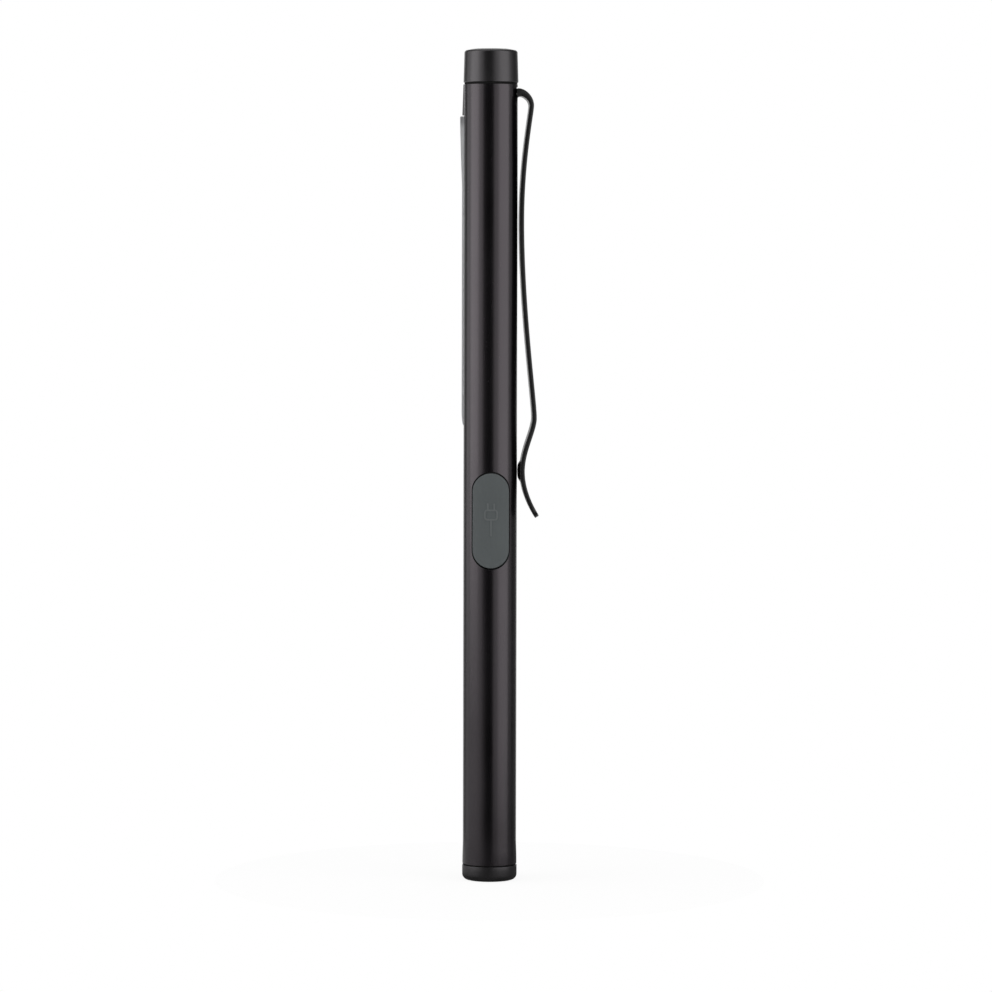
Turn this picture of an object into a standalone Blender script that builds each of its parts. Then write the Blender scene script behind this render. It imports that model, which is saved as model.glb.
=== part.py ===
"""Slim pen-shaped LED work light: a tube with a side light bar, a spot light and a pocket clip.

The origin is the centre of the tail cap's flat base. +Z runs up the tube to the head, +X points
at the pocket clip and -Y at the cover over the charging socket. The light bar and the push
button face WINDOW_TURN round from +X, which is the left-hand rear when seen from -Y.
"""
import math

import bmesh
import bpy
from mathutils import Matrix, Vector
from mathutils.geometry import interpolate_bezier

MM = 0.001

# Clearances
FIT_GAP = 0.3 * MM
SOLDER_GAP = 0.05 * MM
INSERT_GAP = 0.1 * MM
LENS_GAP = 0.2 * MM
TOUCH_GAP = 0.1 * MM
WELD_REACH = 0.002 * MM

# Tube
TUBE_OD = 11.65 * MM
TUBE_WALL = 0.8 * MM
TUBE_LENGTH = 169.6 * MM
TUBE_LIP = 0.08 * MM
TUBE_LIP_HEIGHT = 1.8 * MM
TUBE_LIP_TAPER = 0.6 * MM
ROUND_STEPS = 64
SMALL_STEPS = 24
ROUND_END_SHARE = 0.4995

# Tail cap, magnet and pad
TAIL_CAP_OD = 11.9 * MM
TAIL_CAP_HEIGHT = 3.3 * MM
TAIL_CAP_ROUND = 1.2 * MM
TAIL_SEAM = 0.3 * MM
TAIL_SPIGOT = 2.6 * MM
TAIL_FLOOR = 0.8 * MM
TAIL_SPIGOT_WALL = 0.85 * MM
MAGNET_HEIGHT = 3.0 * MM
PAD_HEIGHT = 1.5 * MM
SEAL_SQUEEZE = 0.05 * MM
SEAL_RECESS = 0.2 * MM

# Head cap and spot light
HEAD_SEAM = 0.4 * MM
HEAD_CAP_HEIGHT = 7.3 * MM
HEAD_TOP_OD = 11.5 * MM
HEAD_FOOT_OD = 11.9 * MM
HEAD_ROUND = 0.6 * MM
HEAD_CROWN = 0.3 * MM
HEAD_SPIGOT = 5.0 * MM
HEAD_SPIGOT_WALL = 0.75 * MM
HEAD_LIP = 1.8 * MM
SPOT_LEDGE = 0.4 * MM
SPOT_LENS_RECESS = 0.3 * MM
SPOT_FLANGE = 1.2 * MM
REFLECTOR_HEIGHT = 2.4 * MM
REFLECTOR_SLOPE = 0.8 * MM
SPOT_BOARD_THICK = 0.8 * MM
SPOT_LED_SHARE = 0.625
SPOT_LED_HEIGHT = 0.9 * MM
RETAINER_HEIGHT = 1.0 * MM
RETAINER_RING = 1.0 * MM

# Light bar
WINDOW_TURN = math.radians(148.0)
LENS_WIDTH = 5.7 * MM
LENS_LENGTH = 67.0 * MM
LENS_DROP = 6.9 * MM
LENS_RISE = 0.45 * MM
LENS_HEEL_RISE = 0.9 * MM
LENS_HEEL_LENGTH = 15.0 * MM
LENS_HEEL_DIP = 0.09 * MM
LENS_HEEL_SHOULDER = 3.75 * MM
LENS_TOE_LENGTH = 3.2 * MM
LENS_ROOF = 1.0 * MM
LENS_SIDE = 0.65 * MM
LENS_END = 1.5 * MM
LENS_FLANGE = 0.55 * MM
END_PIECE_RISE_LOW = 0.4 * MM
END_PIECE_RISE_TOP = 0.17 * MM
END_PIECE_FOOT = 1.7 * MM
STRIP_BOARD_THICK = 0.8 * MM
BAR_ROOM = 1.95 * MM
STRIP_LED_COUNT = 8
STRIP_LED_SIZE = 2.8 * MM
STRIP_LED_HEIGHT = 0.8 * MM
STRIP_LED_MARGIN = 5.0 * MM

# Push button and switch
BUTTON_DROP = 7.5 * MM
BUTTON_WIDTH = 5.0 * MM
BUTTON_LENGTH = 8.0 * MM
BUTTON_FLANGE = 0.9 * MM
BUTTON_FLANGE_THICK = 0.35 * MM
BUTTON_THICK = 1.55 * MM
BUTTON_POST_OD = 2.2 * MM
SWITCH_TRAVEL = 0.3 * MM
SWITCH_SIZE = 4.0 * MM
SWITCH_HEIGHT = 0.6 * MM
SWITCH_BASE = 0.1 * MM
PLUNGER_OD = 1.5 * MM
PLUNGER_RISE = 0.35 * MM
STRIP_BOARD_TAIL = 5.3 * MM

# Main board and charging socket
PORT_BELOW_BUTTON = 13.0 * MM
PORT_TURN = math.radians(-90.0)
MAIN_BOARD_FACE = 1.0 * MM
MAIN_BOARD_THICK = 0.8 * MM
BOARD_EDGE_GAP = 0.2 * MM
SOCKET_WIDTH = 3.0 * MM
SOCKET_LENGTH = 7.8 * MM
SOCKET_WALL = 0.3 * MM
SOCKET_ROUND = 0.7 * MM
SOCKET_MOUTH = 4.0 * MM
TONGUE_WIDTH = 5.0 * MM
TONGUE_THICK = 0.6 * MM
TONGUE_RECESS = 0.6 * MM
TONGUE_BASE = 1.2 * MM
CHIP_WIDTH = 3.0 * MM
CHIP_LENGTH = 4.0 * MM
CHIP_HEIGHT = 0.8 * MM
CHARGE_LIGHT_SIZE = 1.2 * MM
CHARGE_LIGHT_HEIGHT = 0.6 * MM

# Charging socket cover
COVER_WIDTH = 7.9 * MM
COVER_LENGTH = 20.6 * MM
PLUG_WIDTH = 1.6 * MM
PLUG_LENGTH = 6.2 * MM
PLUG_REACH = 0.4 * MM

# Battery
BATTERY_BELOW_PORT = 24.4 * MM
BATTERY_NUB_OD = 3.0 * MM
BATTERY_NUB_HEIGHT = 0.6 * MM
BATTERY_CRIMP = 0.25 * MM
BATTERY_CRIMP_DROP = 3.0 * MM
BATTERY_CRIMP_HALF = 0.5 * MM
TAB_WIDTH = 3.0 * MM
TAB_LENGTH = 5.0 * MM
TAB_THICK = 0.2 * MM
TERMINAL_SPACE = 3.0 * MM

# Chassis
CRADLE_LIP = 1.0 * MM
CRADLE_GAP = 0.3 * MM
CRADLE_WALL = 0.6 * MM
RAIL_THICK = 1.1 * MM
BULKHEAD = 1.0 * MM
CRADLE_INTO_BULKHEAD = 0.3 * MM
CUT_BELOW_BULKHEAD_TOP = 0.4 * MM
CUT_ABOVE_BULKHEAD_FOOT = 0.4 * MM
LOW_NOTCH_HALF = 2.4 * MM
LOW_NOTCH_START = 1.2 * MM
HIGH_NOTCH_LEFT = 3.1 * MM
HIGH_NOTCH_RIGHT = 2.3 * MM
HIGH_NOTCH_FRONT = 2.2 * MM
HIGH_NOTCH_BACK = 0.9 * MM

# Wires
WIRE_OD = 0.6 * MM
WIRE_LANDING = 1.2 * MM
BATTERY_WIRE_PLANE = 2.0 * MM
SPOT_WIRE_DEPTH = 1.2 * MM
SPOT_WIRE_SIDE = 0.9 * MM
STRIP_WIRE_NEAR = 0.6 * MM
STRIP_WIRE_FAR = 2.2 * MM
STRIP_WIRE_START = 1.5 * MM
STRIP_WIRE_TUCK = 0.2 * MM
RED_LEAD_SIDES = (0.9 * MM, 1.1 * MM, 1.3 * MM)
BLACK_LEAD_SIDES = (0.6 * MM, 1.2 * MM)
BLACK_LEAD_FRONTS = (1.4 * MM, 0.6 * MM)
BATTERY_PAD_SIDE = 1.5 * MM

# Pocket clip, as distances of the strip's middle from the tube and below the root
CLIP_WIDTH = 6.5 * MM
CLIP_THICK = 1.0 * MM
CLIP_TANG_WIDTH = 3.0 * MM
CLIP_ROOT_DROP = 1.4 * MM
CLIP_HOOK_LENGTH = 2.7 * MM
CLIP_HOOK_BEND = 0.9 * MM
CLIP_ARCH_OUT = 2.9 * MM
CLIP_ARCH_DROP = 3.2 * MM
CLIP_WAIST_OUT = 0.82 * MM
CLIP_WAIST_DROP = 28.0 * MM
CLIP_BELLY_OUT = 3.67 * MM
CLIP_BELLY_DROP = 70.8 * MM
CLIP_NECK_OUT = 1.08 * MM
CLIP_NECK_DROP = 82.4 * MM
CLIP_TIP_OUT = 4.38 * MM
CLIP_TIP_DROP = 92.4 * MM
CLIP_TIP_ROUND = 2.5 * MM
CLIP_TIP_HEADING = (0.54, -0.84)
CLIP_TIP_OVERHANG = 0.35 * MM
CLIP_ARCH_ROOM = 1.5 * MM
CLIP_DIMPLE_OD = 3.2 * MM
CLIP_DIMPLE_TOP = 2.0 * MM

# Handle lengths of the clip's curve before and after each station, as shares of its spans
CLIP_HOOK_ROUND = 0.55
CLIP_WAIST_REACH = (0.54, 0.44)
CLIP_BELLY_REACH = (0.09, 0.24)
CLIP_NECK_REACH = (0.39, 0.35)
CLIP_TIP_REACH = 0.35

# Radii and heights worked out from the sizes above
tube_r = TUBE_OD / 2
bore_r = tube_r - TUBE_WALL
core_r = bore_r - FIT_GAP
strip_board_face = core_r - BAR_ROOM

tube_z0 = TAIL_CAP_HEIGHT + TAIL_SEAM
tube_z1 = tube_z0 + TUBE_LENGTH
head_z0 = tube_z1 + HEAD_SEAM
head_z1 = head_z0 + HEAD_CAP_HEIGHT

tail_bore_r = core_r - TAIL_SPIGOT_WALL
tail_spigot_z1 = TAIL_CAP_HEIGHT + TAIL_SPIGOT
magnet_z0 = TAIL_FLOOR + LENS_GAP
magnet_z1 = magnet_z0 + MAGNET_HEIGHT
pad_z0 = magnet_z1 + FIT_GAP
pad_z1 = pad_z0 + PAD_HEIGHT

lens_z1 = tube_z1 - LENS_DROP
lens_z0 = lens_z1 - LENS_LENGTH
button_z = lens_z0 - BUTTON_DROP
port_z = button_z - PORT_BELOW_BUTTON

cradle_r = core_r - CRADLE_WALL
cell_r = cradle_r - CRADLE_GAP
battery_z0 = max(pad_z1, tail_spigot_z1) + FIT_GAP
battery_z1 = port_z - BATTERY_BELOW_PORT
low_bulkhead_z0 = battery_z1 + TERMINAL_SPACE
low_bulkhead_z1 = low_bulkhead_z0 + BULKHEAD

strip_board_z0 = button_z - STRIP_BOARD_TAIL
high_bulkhead_z1 = strip_board_z0 - FIT_GAP
high_bulkhead_z0 = high_bulkhead_z1 - BULKHEAD
main_board_z0 = low_bulkhead_z1 + FIT_GAP
main_board_z1 = high_bulkhead_z0 - FIT_GAP
head_spigot_z0 = head_z0 - HEAD_SPIGOT
chassis_z0 = tail_spigot_z1 + FIT_GAP
chassis_z1 = head_spigot_z0 - FIT_GAP
strip_board_z1 = chassis_z1 - FIT_GAP
strip_board_back = strip_board_face - STRIP_BOARD_THICK

head_bore_r = core_r - HEAD_SPIGOT_WALL
head_seat_r = head_bore_r - FIT_GAP
spot_window_r = head_seat_r - SPOT_LEDGE
reflector_floor_r = spot_window_r - REFLECTOR_SLOPE
head_bore_z1 = head_z1 - HEAD_LIP
spot_flange_z1 = head_bore_z1 - FIT_GAP
spot_flange_z0 = spot_flange_z1 - SPOT_FLANGE
reflector_z1 = spot_flange_z0 - FIT_GAP
reflector_z0 = reflector_z1 - REFLECTOR_HEIGHT
spot_board_z1 = reflector_z0 - FIT_GAP
spot_board_z0 = spot_board_z1 - SPOT_BOARD_THICK
retainer_z1 = spot_board_z0 - FIT_GAP
retainer_z0 = retainer_z1 - RETAINER_HEIGHT

clip_root_z = tube_z1 - CLIP_ROOT_DROP
clip_axis_x = (tube_r + bore_r) / 2
rail_r = core_r - RAIL_THICK
wire_r = WIRE_OD / 2
main_board_back = MAIN_BOARD_FACE + MAIN_BOARD_THICK
slot_half = LENS_WIDTH / 2 + LENS_GAP
cover_opening_width = COVER_WIDTH + 2 * FIT_GAP
cover_opening_length = COVER_LENGTH + 2 * FIT_GAP

for old in list(bpy.data.objects):
    bpy.data.objects.remove(old, do_unlink=True)

PARTS = bpy.data.collections.new("work_light")
CUTTERS = bpy.data.collections.new("cutters")
bpy.context.scene.collection.children.link(PARTS)
bpy.context.scene.collection.children.link(CUTTERS)


def material(name, colour, roughness, metallic=0.0):
    """A Principled material with one colour."""
    mat = bpy.data.materials.new(name)
    mat.use_nodes = True
    shader = mat.node_tree.nodes["Principled BSDF"]
    shader.inputs["Base Color"].default_value = (*colour, 1.0)
    shader.inputs["Roughness"].default_value = roughness
    shader.inputs["Metallic"].default_value = metallic
    return mat


ANODISED = material("black_anodised", (0.012, 0.011, 0.013), 0.38, 0.6)
BLACK_PLASTIC = material("black_plastic", (0.014, 0.014, 0.015), 0.5)
SPRING_STEEL = material("black_spring_steel", (0.01, 0.01, 0.01), 0.35, 0.7)
GREY_RUBBER = material("grey_rubber", (0.085, 0.092, 0.095), 0.7)
BLACK_RUBBER = material("black_rubber", (0.01, 0.01, 0.01), 0.8)
CLEAR_PLASTIC = material("clear_plastic", (0.8, 0.82, 0.82), 0.15)
WHITE_BOARD = material("white_board", (0.75, 0.75, 0.72), 0.5)
GREEN_BOARD = material("green_board", (0.02, 0.16, 0.07), 0.45)
LED_YELLOW = material("led_phosphor", (0.85, 0.7, 0.12), 0.4)
CHIP_BLACK = material("chip_black", (0.02, 0.02, 0.02), 0.5)
NICKEL = material("nickel", (0.6, 0.58, 0.54), 0.3, 1.0)
STEEL = material("steel", (0.5, 0.5, 0.5), 0.3, 1.0)
MIRROR = material("reflector_mirror", (0.85, 0.85, 0.85), 0.1, 1.0)
CELL_WRAP = material("cell_wrap", (0.05, 0.16, 0.4), 0.4)
FOAM = material("foam", (0.05, 0.05, 0.05), 0.95)
WIRE_RED = material("wire_red", (0.5, 0.02, 0.02), 0.5)
WIRE_BLACK = material("wire_black", (0.015, 0.015, 0.015), 0.5)


def mesh_object(name, bm, mat=None):
    """Turns a bmesh into an object: a part if it has a material, and a cutter if not."""
    mesh = bpy.data.meshes.new(name)
    bm.to_mesh(mesh)
    bm.free()
    return placed(bpy.data.objects.new(name, mesh), mat)


def placed(obj, mat):
    """Links an object to the parts with its material, or hides it among the cutters."""
    if mat is None:
        obj.hide_render = True
        obj.display_type = "WIRE"
        CUTTERS.objects.link(obj)
    else:
        obj.data.materials.append(mat)
        PARTS.objects.link(obj)
    return obj


def turned(name, profile, mat=None, steps=ROUND_STEPS):
    """Spins (radius, height) points round Z. They run down the outer side, then up a bore."""
    bm = bmesh.new()
    verts = [bm.verts.new((r, 0.0, z)) for r, z in profile]
    for upper, lower in zip(verts, verts[1:]):
        bm.edges.new((upper, lower))
    if profile[0][0] > 0.0:
        bm.edges.new((verts[-1], verts[0]))
    obj = mesh_object(name, bm, mat)
    screw = obj.modifiers.new("Spin", "SCREW")
    screw.axis = "Z"
    screw.angle = math.tau
    screw.screw_offset = 0.0
    screw.steps = steps
    screw.render_steps = steps
    screw.use_merge_vertices = True
    screw.merge_threshold = 0.00001
    screw.use_smooth_shade = True
    return obj


def ring_profile(outer_r, inner_r, z0, z1):
    """The profile of a plain ring."""
    return [(outer_r, z1), (outer_r, z0), (inner_r, z0), (inner_r, z1)]


def disc_profile(radius, z0, z1):
    """The profile of a plain disc."""
    return [(0.0, z1), (radius, z1), (radius, z0), (0.0, z0)]


def box(name, low, high, mat=None, turn=0.0):
    """A box between two corners, turned round Z by an angle."""
    low = Vector(low)
    high = Vector(high)
    bm = bmesh.new()
    bmesh.ops.create_cube(bm, size=1.0)
    bmesh.ops.scale(bm, vec=high - low, verts=bm.verts)
    bmesh.ops.translate(bm, vec=(low + high) / 2, verts=bm.verts)
    obj = mesh_object(name, bm, mat)
    obj.rotation_euler.z = turn
    return obj


def rounded_bar(name, near, far, width, height, centre_z, radius, mat=None, turn=0.0):
    """A bar along local X from near to far, with a round-cornered width by height section."""
    bm = bmesh.new()
    bmesh.ops.create_cube(bm, size=1.0)
    bmesh.ops.scale(bm, vec=(far - near, width, height), verts=bm.verts)
    bmesh.ops.translate(bm, vec=((near + far) / 2, 0.0, centre_z), verts=bm.verts)
    lengthwise = [e for e in bm.edges if abs(e.verts[0].co.x - e.verts[1].co.x) > abs(far - near) / 2]
    bmesh.ops.bevel(bm, geom=lengthwise, offset=radius, segments=8, profile=0.5, affect="EDGES")
    obj = mesh_object(name, bm, mat)
    obj.rotation_euler.z = turn
    return obj


def rod(name, near, far, radius, centre_z, mat=None, turn=0.0):
    """A round rod along local X from near to far."""
    bm = bmesh.new()
    bmesh.ops.create_cone(bm, cap_ends=True, segments=SMALL_STEPS, radius1=radius, radius2=radius,
                          depth=far - near)
    bmesh.ops.rotate(bm, matrix=Matrix.Rotation(math.pi / 2, 3, "Y"), verts=bm.verts)
    bmesh.ops.translate(bm, vec=((near + far) / 2, 0.0, centre_z), verts=bm.verts)
    obj = mesh_object(name, bm, mat)
    obj.rotation_euler.z = turn
    return obj


def combine(obj, other, operation):
    """Adds a Boolean of another object to this one."""
    mod = obj.modifiers.new(operation.title() + " " + other.name, "BOOLEAN")
    mod.operation = operation
    mod.solver = "EXACT"
    mod.object = other


def cut(obj, *cutters):
    for cutter in cutters:
        combine(obj, cutter, "DIFFERENCE")


def join(obj, *others):
    for other in others:
        combine(obj, other, "UNION")


def keep_within(obj, *others):
    for other in others:
        combine(obj, other, "INTERSECT")


def wire(name, points, mat):
    """An insulated lead through points, smoothed and closed at both ends."""
    route = smooth_route([Vector(p) for p in points])
    data = bpy.data.curves.new(name, "CURVE")
    data.dimensions = "3D"
    data.bevel_depth = wire_r
    data.bevel_resolution = 1
    spline = data.splines.new("POLY")
    spline.points.add(len(route) - 1)
    for point, co in zip(spline.points, route):
        point.co = (*co, 1.0)
    return meshed(bpy.data.objects.new(name, data), name, mat, cap_ends=True)


def meshed(guide, name, mat, cap_ends=False):
    """Turns a curve object into a mesh part where it stands, and caps a tube's two ends."""
    CUTTERS.objects.link(guide)
    bpy.context.view_layer.update()
    graph = bpy.context.evaluated_depsgraph_get()
    mesh = bpy.data.meshes.new_from_object(guide.evaluated_get(graph))
    mesh.name = name
    bm = bmesh.new()
    bm.from_mesh(mesh)
    bmesh.ops.remove_doubles(bm, verts=bm.verts, dist=WELD_REACH)
    if cap_ends:
        bmesh.ops.holes_fill(bm, edges=[e for e in bm.edges if e.is_boundary])
        bmesh.ops.recalc_face_normals(bm, faces=bm.faces)
    bm.to_mesh(mesh)
    bm.free()
    stand = guide.matrix_world.copy()
    bpy.data.objects.remove(guide)
    obj = placed(bpy.data.objects.new(name, mesh), mat)
    obj.matrix_world = stand
    return obj


def smooth_route(points, steps=5):
    """Points along a smooth curve through the given ones, however unevenly they are spaced."""
    headings = [(after - before).normalized()
                for before, after in zip([points[0], *points[:-1]], [*points[1:], points[-1]])]
    route = [points[0]]
    for start, end, leave, arrive in zip(points, points[1:], headings, headings[1:]):
        reach = (end - start).length / 3
        route += interpolate_bezier(start, start + leave * reach, end - arrive * reach, end,
                                    steps)[1:]
    return route


def window_point(out, side, z):
    """A point given by its distance out towards the light bar and to the side of it."""
    cos_t = math.cos(WINDOW_TURN)
    sin_t = math.sin(WINDOW_TURN)
    return (out * cos_t - side * sin_t, out * sin_t + side * cos_t, z)


def make_body_tube():
    """The anodised tube, open for the light bar, the button, the charging cover and the clip."""
    lip_z1 = tube_z0 + TUBE_LIP_HEIGHT
    tube = turned("body_tube", [
        (tube_r, tube_z1), (tube_r, lip_z1), (tube_r + TUBE_LIP, lip_z1 - TUBE_LIP_TAPER),
        (tube_r + TUBE_LIP, tube_z0), (bore_r, tube_z0), (bore_r, tube_z1)], ANODISED)
    bar_slot = box("bar_slot", (0.0, -slot_half, lens_z0 - LENS_GAP),
                   (TUBE_OD, slot_half, tube_z1 + TUBE_WALL), turn=WINDOW_TURN)
    button_hole = rounded_bar("button_hole", 0.0, TUBE_OD, BUTTON_WIDTH + 2 * FIT_GAP,
                              BUTTON_LENGTH + 2 * FIT_GAP, button_z,
                              (BUTTON_WIDTH + 2 * FIT_GAP) * ROUND_END_SHARE, turn=WINDOW_TURN)
    port_hole = rounded_bar("port_hole", 0.0, TUBE_OD, cover_opening_width, cover_opening_length,
                            port_z, cover_opening_width * ROUND_END_SHARE, turn=PORT_TURN)
    tang_half = CLIP_TANG_WIDTH / 2 + FIT_GAP
    tang_rise = CLIP_THICK / 2 + FIT_GAP
    clip_slot = box("clip_slot", (0.0, -tang_half, clip_root_z - tang_rise),
                    (TUBE_OD, tang_half, clip_root_z + tang_rise))
    cut(tube, bar_slot, button_hole, port_hole, clip_slot)


def make_tail():
    """The tail cap with the magnet behind its floor, its seal, and the pad under the battery."""
    cap_r = TAIL_CAP_OD / 2
    base_r = cap_r - TAIL_CAP_ROUND
    corner = []
    for i in range(7):
        angle = math.pi / 2 * i / 6
        corner.append((base_r + TAIL_CAP_ROUND * math.cos(angle),
                       TAIL_CAP_ROUND - TAIL_CAP_ROUND * math.sin(angle)))
    turned("tail_cap", [
        (0.0, TAIL_FLOOR), (tail_bore_r, TAIL_FLOOR), (tail_bore_r, tail_spigot_z1),
        (core_r, tail_spigot_z1), (core_r, TAIL_CAP_HEIGHT), (cap_r, TAIL_CAP_HEIGHT),
        *corner, (0.0, 0.0)], BLACK_PLASTIC)
    magnet_r = tail_bore_r - FIT_GAP
    turned("tail_magnet", disc_profile(magnet_r, magnet_z0, magnet_z1), NICKEL, SMALL_STEPS * 2)
    turned("battery_pad", disc_profile(magnet_r, pad_z0, pad_z1), FOAM, SMALL_STEPS * 2)
    turned("tail_seal", ring_profile(tube_r - SEAL_RECESS, core_r + SEAL_SQUEEZE * 2,
                                     TAIL_CAP_HEIGHT + SEAL_SQUEEZE, tube_z0 - SEAL_SQUEEZE),
           BLACK_RUBBER)


def make_head_cap():
    """The drafted head cap, whose spigot is notched round the clip's hook."""
    top_r = HEAD_TOP_OD / 2
    foot_r = HEAD_FOOT_OD / 2
    window_r = spot_window_r + FIT_GAP
    round_z = head_z1 - HEAD_CROWN - HEAD_ROUND
    corner = []
    for i in range(5):
        angle = math.pi / 2 * i / 4
        corner.append((top_r - HEAD_ROUND + HEAD_ROUND * math.sin(angle),
                       round_z + HEAD_ROUND * math.cos(angle)))
    cap = turned("head_cap", [
        (window_r, head_z1), *corner, (foot_r, head_z0), (core_r, head_z0),
        (core_r, head_spigot_z0), (head_bore_r, head_spigot_z0), (head_bore_r, head_bore_z1),
        (window_r, head_bore_z1)], BLACK_PLASTIC)
    notch_half = CLIP_TANG_WIDTH / 2 + FIT_GAP
    hook_notch = box("hook_notch", (0.0, -notch_half, head_spigot_z0 - FIT_GAP),
                     (core_r + FIT_GAP, notch_half, clip_root_z + CLIP_THICK / 2 + FIT_GAP))
    cut(cap, hook_notch)
    turned("head_seal", ring_profile(tube_r - SEAL_RECESS, core_r + SEAL_SQUEEZE * 2,
                                     tube_z1 + SEAL_SQUEEZE, head_z0 - SEAL_SQUEEZE), BLACK_RUBBER)


def make_spot_light():
    """The lens, reflector, LED, board and retaining ring stacked in the head cap."""
    lens_top = head_z1 - SPOT_LENS_RECESS
    turned("spot_lens", [
        (0.0, lens_top), (spot_window_r, lens_top), (spot_window_r, spot_flange_z1),
        (head_seat_r, spot_flange_z1), (head_seat_r, spot_flange_z0), (0.0, spot_flange_z0)],
           CLEAR_PLASTIC, SMALL_STEPS * 2)
    turned("spot_reflector", [
        (head_seat_r, reflector_z1), (head_seat_r, reflector_z0),
        (reflector_floor_r, reflector_z0), (spot_window_r, reflector_z1)], MIRROR, SMALL_STEPS * 2)
    turned("spot_board", disc_profile(head_seat_r, spot_board_z0, spot_board_z1), WHITE_BOARD,
           SMALL_STEPS * 2)
    half = reflector_floor_r * SPOT_LED_SHARE
    led_z0 = spot_board_z1 + SOLDER_GAP
    box("spot_led", (-half, -half, led_z0), (half, half, led_z0 + SPOT_LED_HEIGHT), LED_YELLOW)
    turned("spot_retainer", ring_profile(head_seat_r, head_seat_r - RETAINER_RING, retainer_z0,
                                         retainer_z1), BLACK_PLASTIC, SMALL_STEPS * 2)


def make_strip_lens():
    """The frosted window of the light bar: proud of the tube, thick at its head end."""
    rise_r = tube_r + LENS_RISE
    heel_r = tube_r + LENS_HEEL_RISE
    toe = []
    for i in range(6):
        t = i / 5
        toe.append((tube_r + LENS_RISE * math.cos(math.pi / 2 * t),
                    lens_z0 + LENS_TOE_LENGTH * (1.0 - math.sin(math.pi / 2 * t))))
    floor_r = strip_board_face
    lens = turned("strip_lens", [
        (heel_r, lens_z1), (heel_r - LENS_HEEL_DIP, lens_z1 - LENS_HEEL_SHOULDER),
        (rise_r, lens_z1 - LENS_HEEL_LENGTH), *toe, (floor_r, lens_z0), (floor_r, lens_z1)],
                  CLEAR_PLASTIC)
    half = LENS_WIDTH / 2
    floor_x = strip_board_face + FIT_GAP
    stem = box("lens_stem", (floor_x, -half, lens_z0 - MM), (TUBE_OD, half, lens_z1 + MM),
               turn=WINDOW_TURN)
    keep_within(lens, stem)
    flange_half = half + LENS_FLANGE
    flange = turned("lens_flange", ring_profile(core_r, floor_r, lens_z0 + LENS_GAP,
                                                lens_z1 - LENS_GAP))
    flange_block = box("lens_flange_block", (floor_x + INSERT_GAP, -flange_half, lens_z0),
                       (TUBE_OD, flange_half, lens_z1), turn=WINDOW_TURN)
    keep_within(flange, flange_block)
    join(lens, flange)
    trough_half = half - LENS_SIDE
    trough = box("lens_trough", (0.0, -trough_half, lens_z0 + LENS_END),
                 (tube_r - LENS_ROOF, trough_half, lens_z1 - LENS_END), turn=WINDOW_TURN)
    cut(lens, trough)


def make_end_piece():
    """The insert that fills the bar's slot above the lens, with a foot inside the tube."""
    piece_z0 = lens_z1 + LENS_GAP
    foot_z1 = piece_z0 + END_PIECE_FOOT
    piece = turned("strip_end_piece", [
        (tube_r + END_PIECE_RISE_TOP, tube_z1), (tube_r + END_PIECE_RISE_LOW, piece_z0),
        (strip_board_face, piece_z0), (strip_board_face, foot_z1), (bore_r, foot_z1),
        (bore_r, tube_z1)], BLACK_PLASTIC)
    block = box("end_piece_block", (strip_board_face + FIT_GAP, -LENS_WIDTH / 2, piece_z0 - MM),
                (TUBE_OD, LENS_WIDTH / 2, tube_z1 + MM), turn=WINDOW_TURN)
    keep_within(piece, block)


def make_light_bar():
    """The LED board under the lens, with one package per LED."""
    half = math.sqrt(core_r ** 2 - strip_board_face ** 2) - BOARD_EDGE_GAP
    box("strip_board", (strip_board_back, -half, strip_board_z0),
        (strip_board_face, half, strip_board_z1), WHITE_BOARD, WINDOW_TURN)
    led_half = STRIP_LED_SIZE / 2
    led_low = strip_board_face + SOLDER_GAP
    span = LENS_LENGTH - 2 * STRIP_LED_MARGIN
    for i in range(STRIP_LED_COUNT):
        z = lens_z0 + STRIP_LED_MARGIN + span * i / (STRIP_LED_COUNT - 1)
        box(f"strip_led_{i + 1}", (led_low, -led_half, z - led_half),
            (led_low + STRIP_LED_HEIGHT, led_half, z + led_half), LED_YELLOW, WINDOW_TURN)


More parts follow.
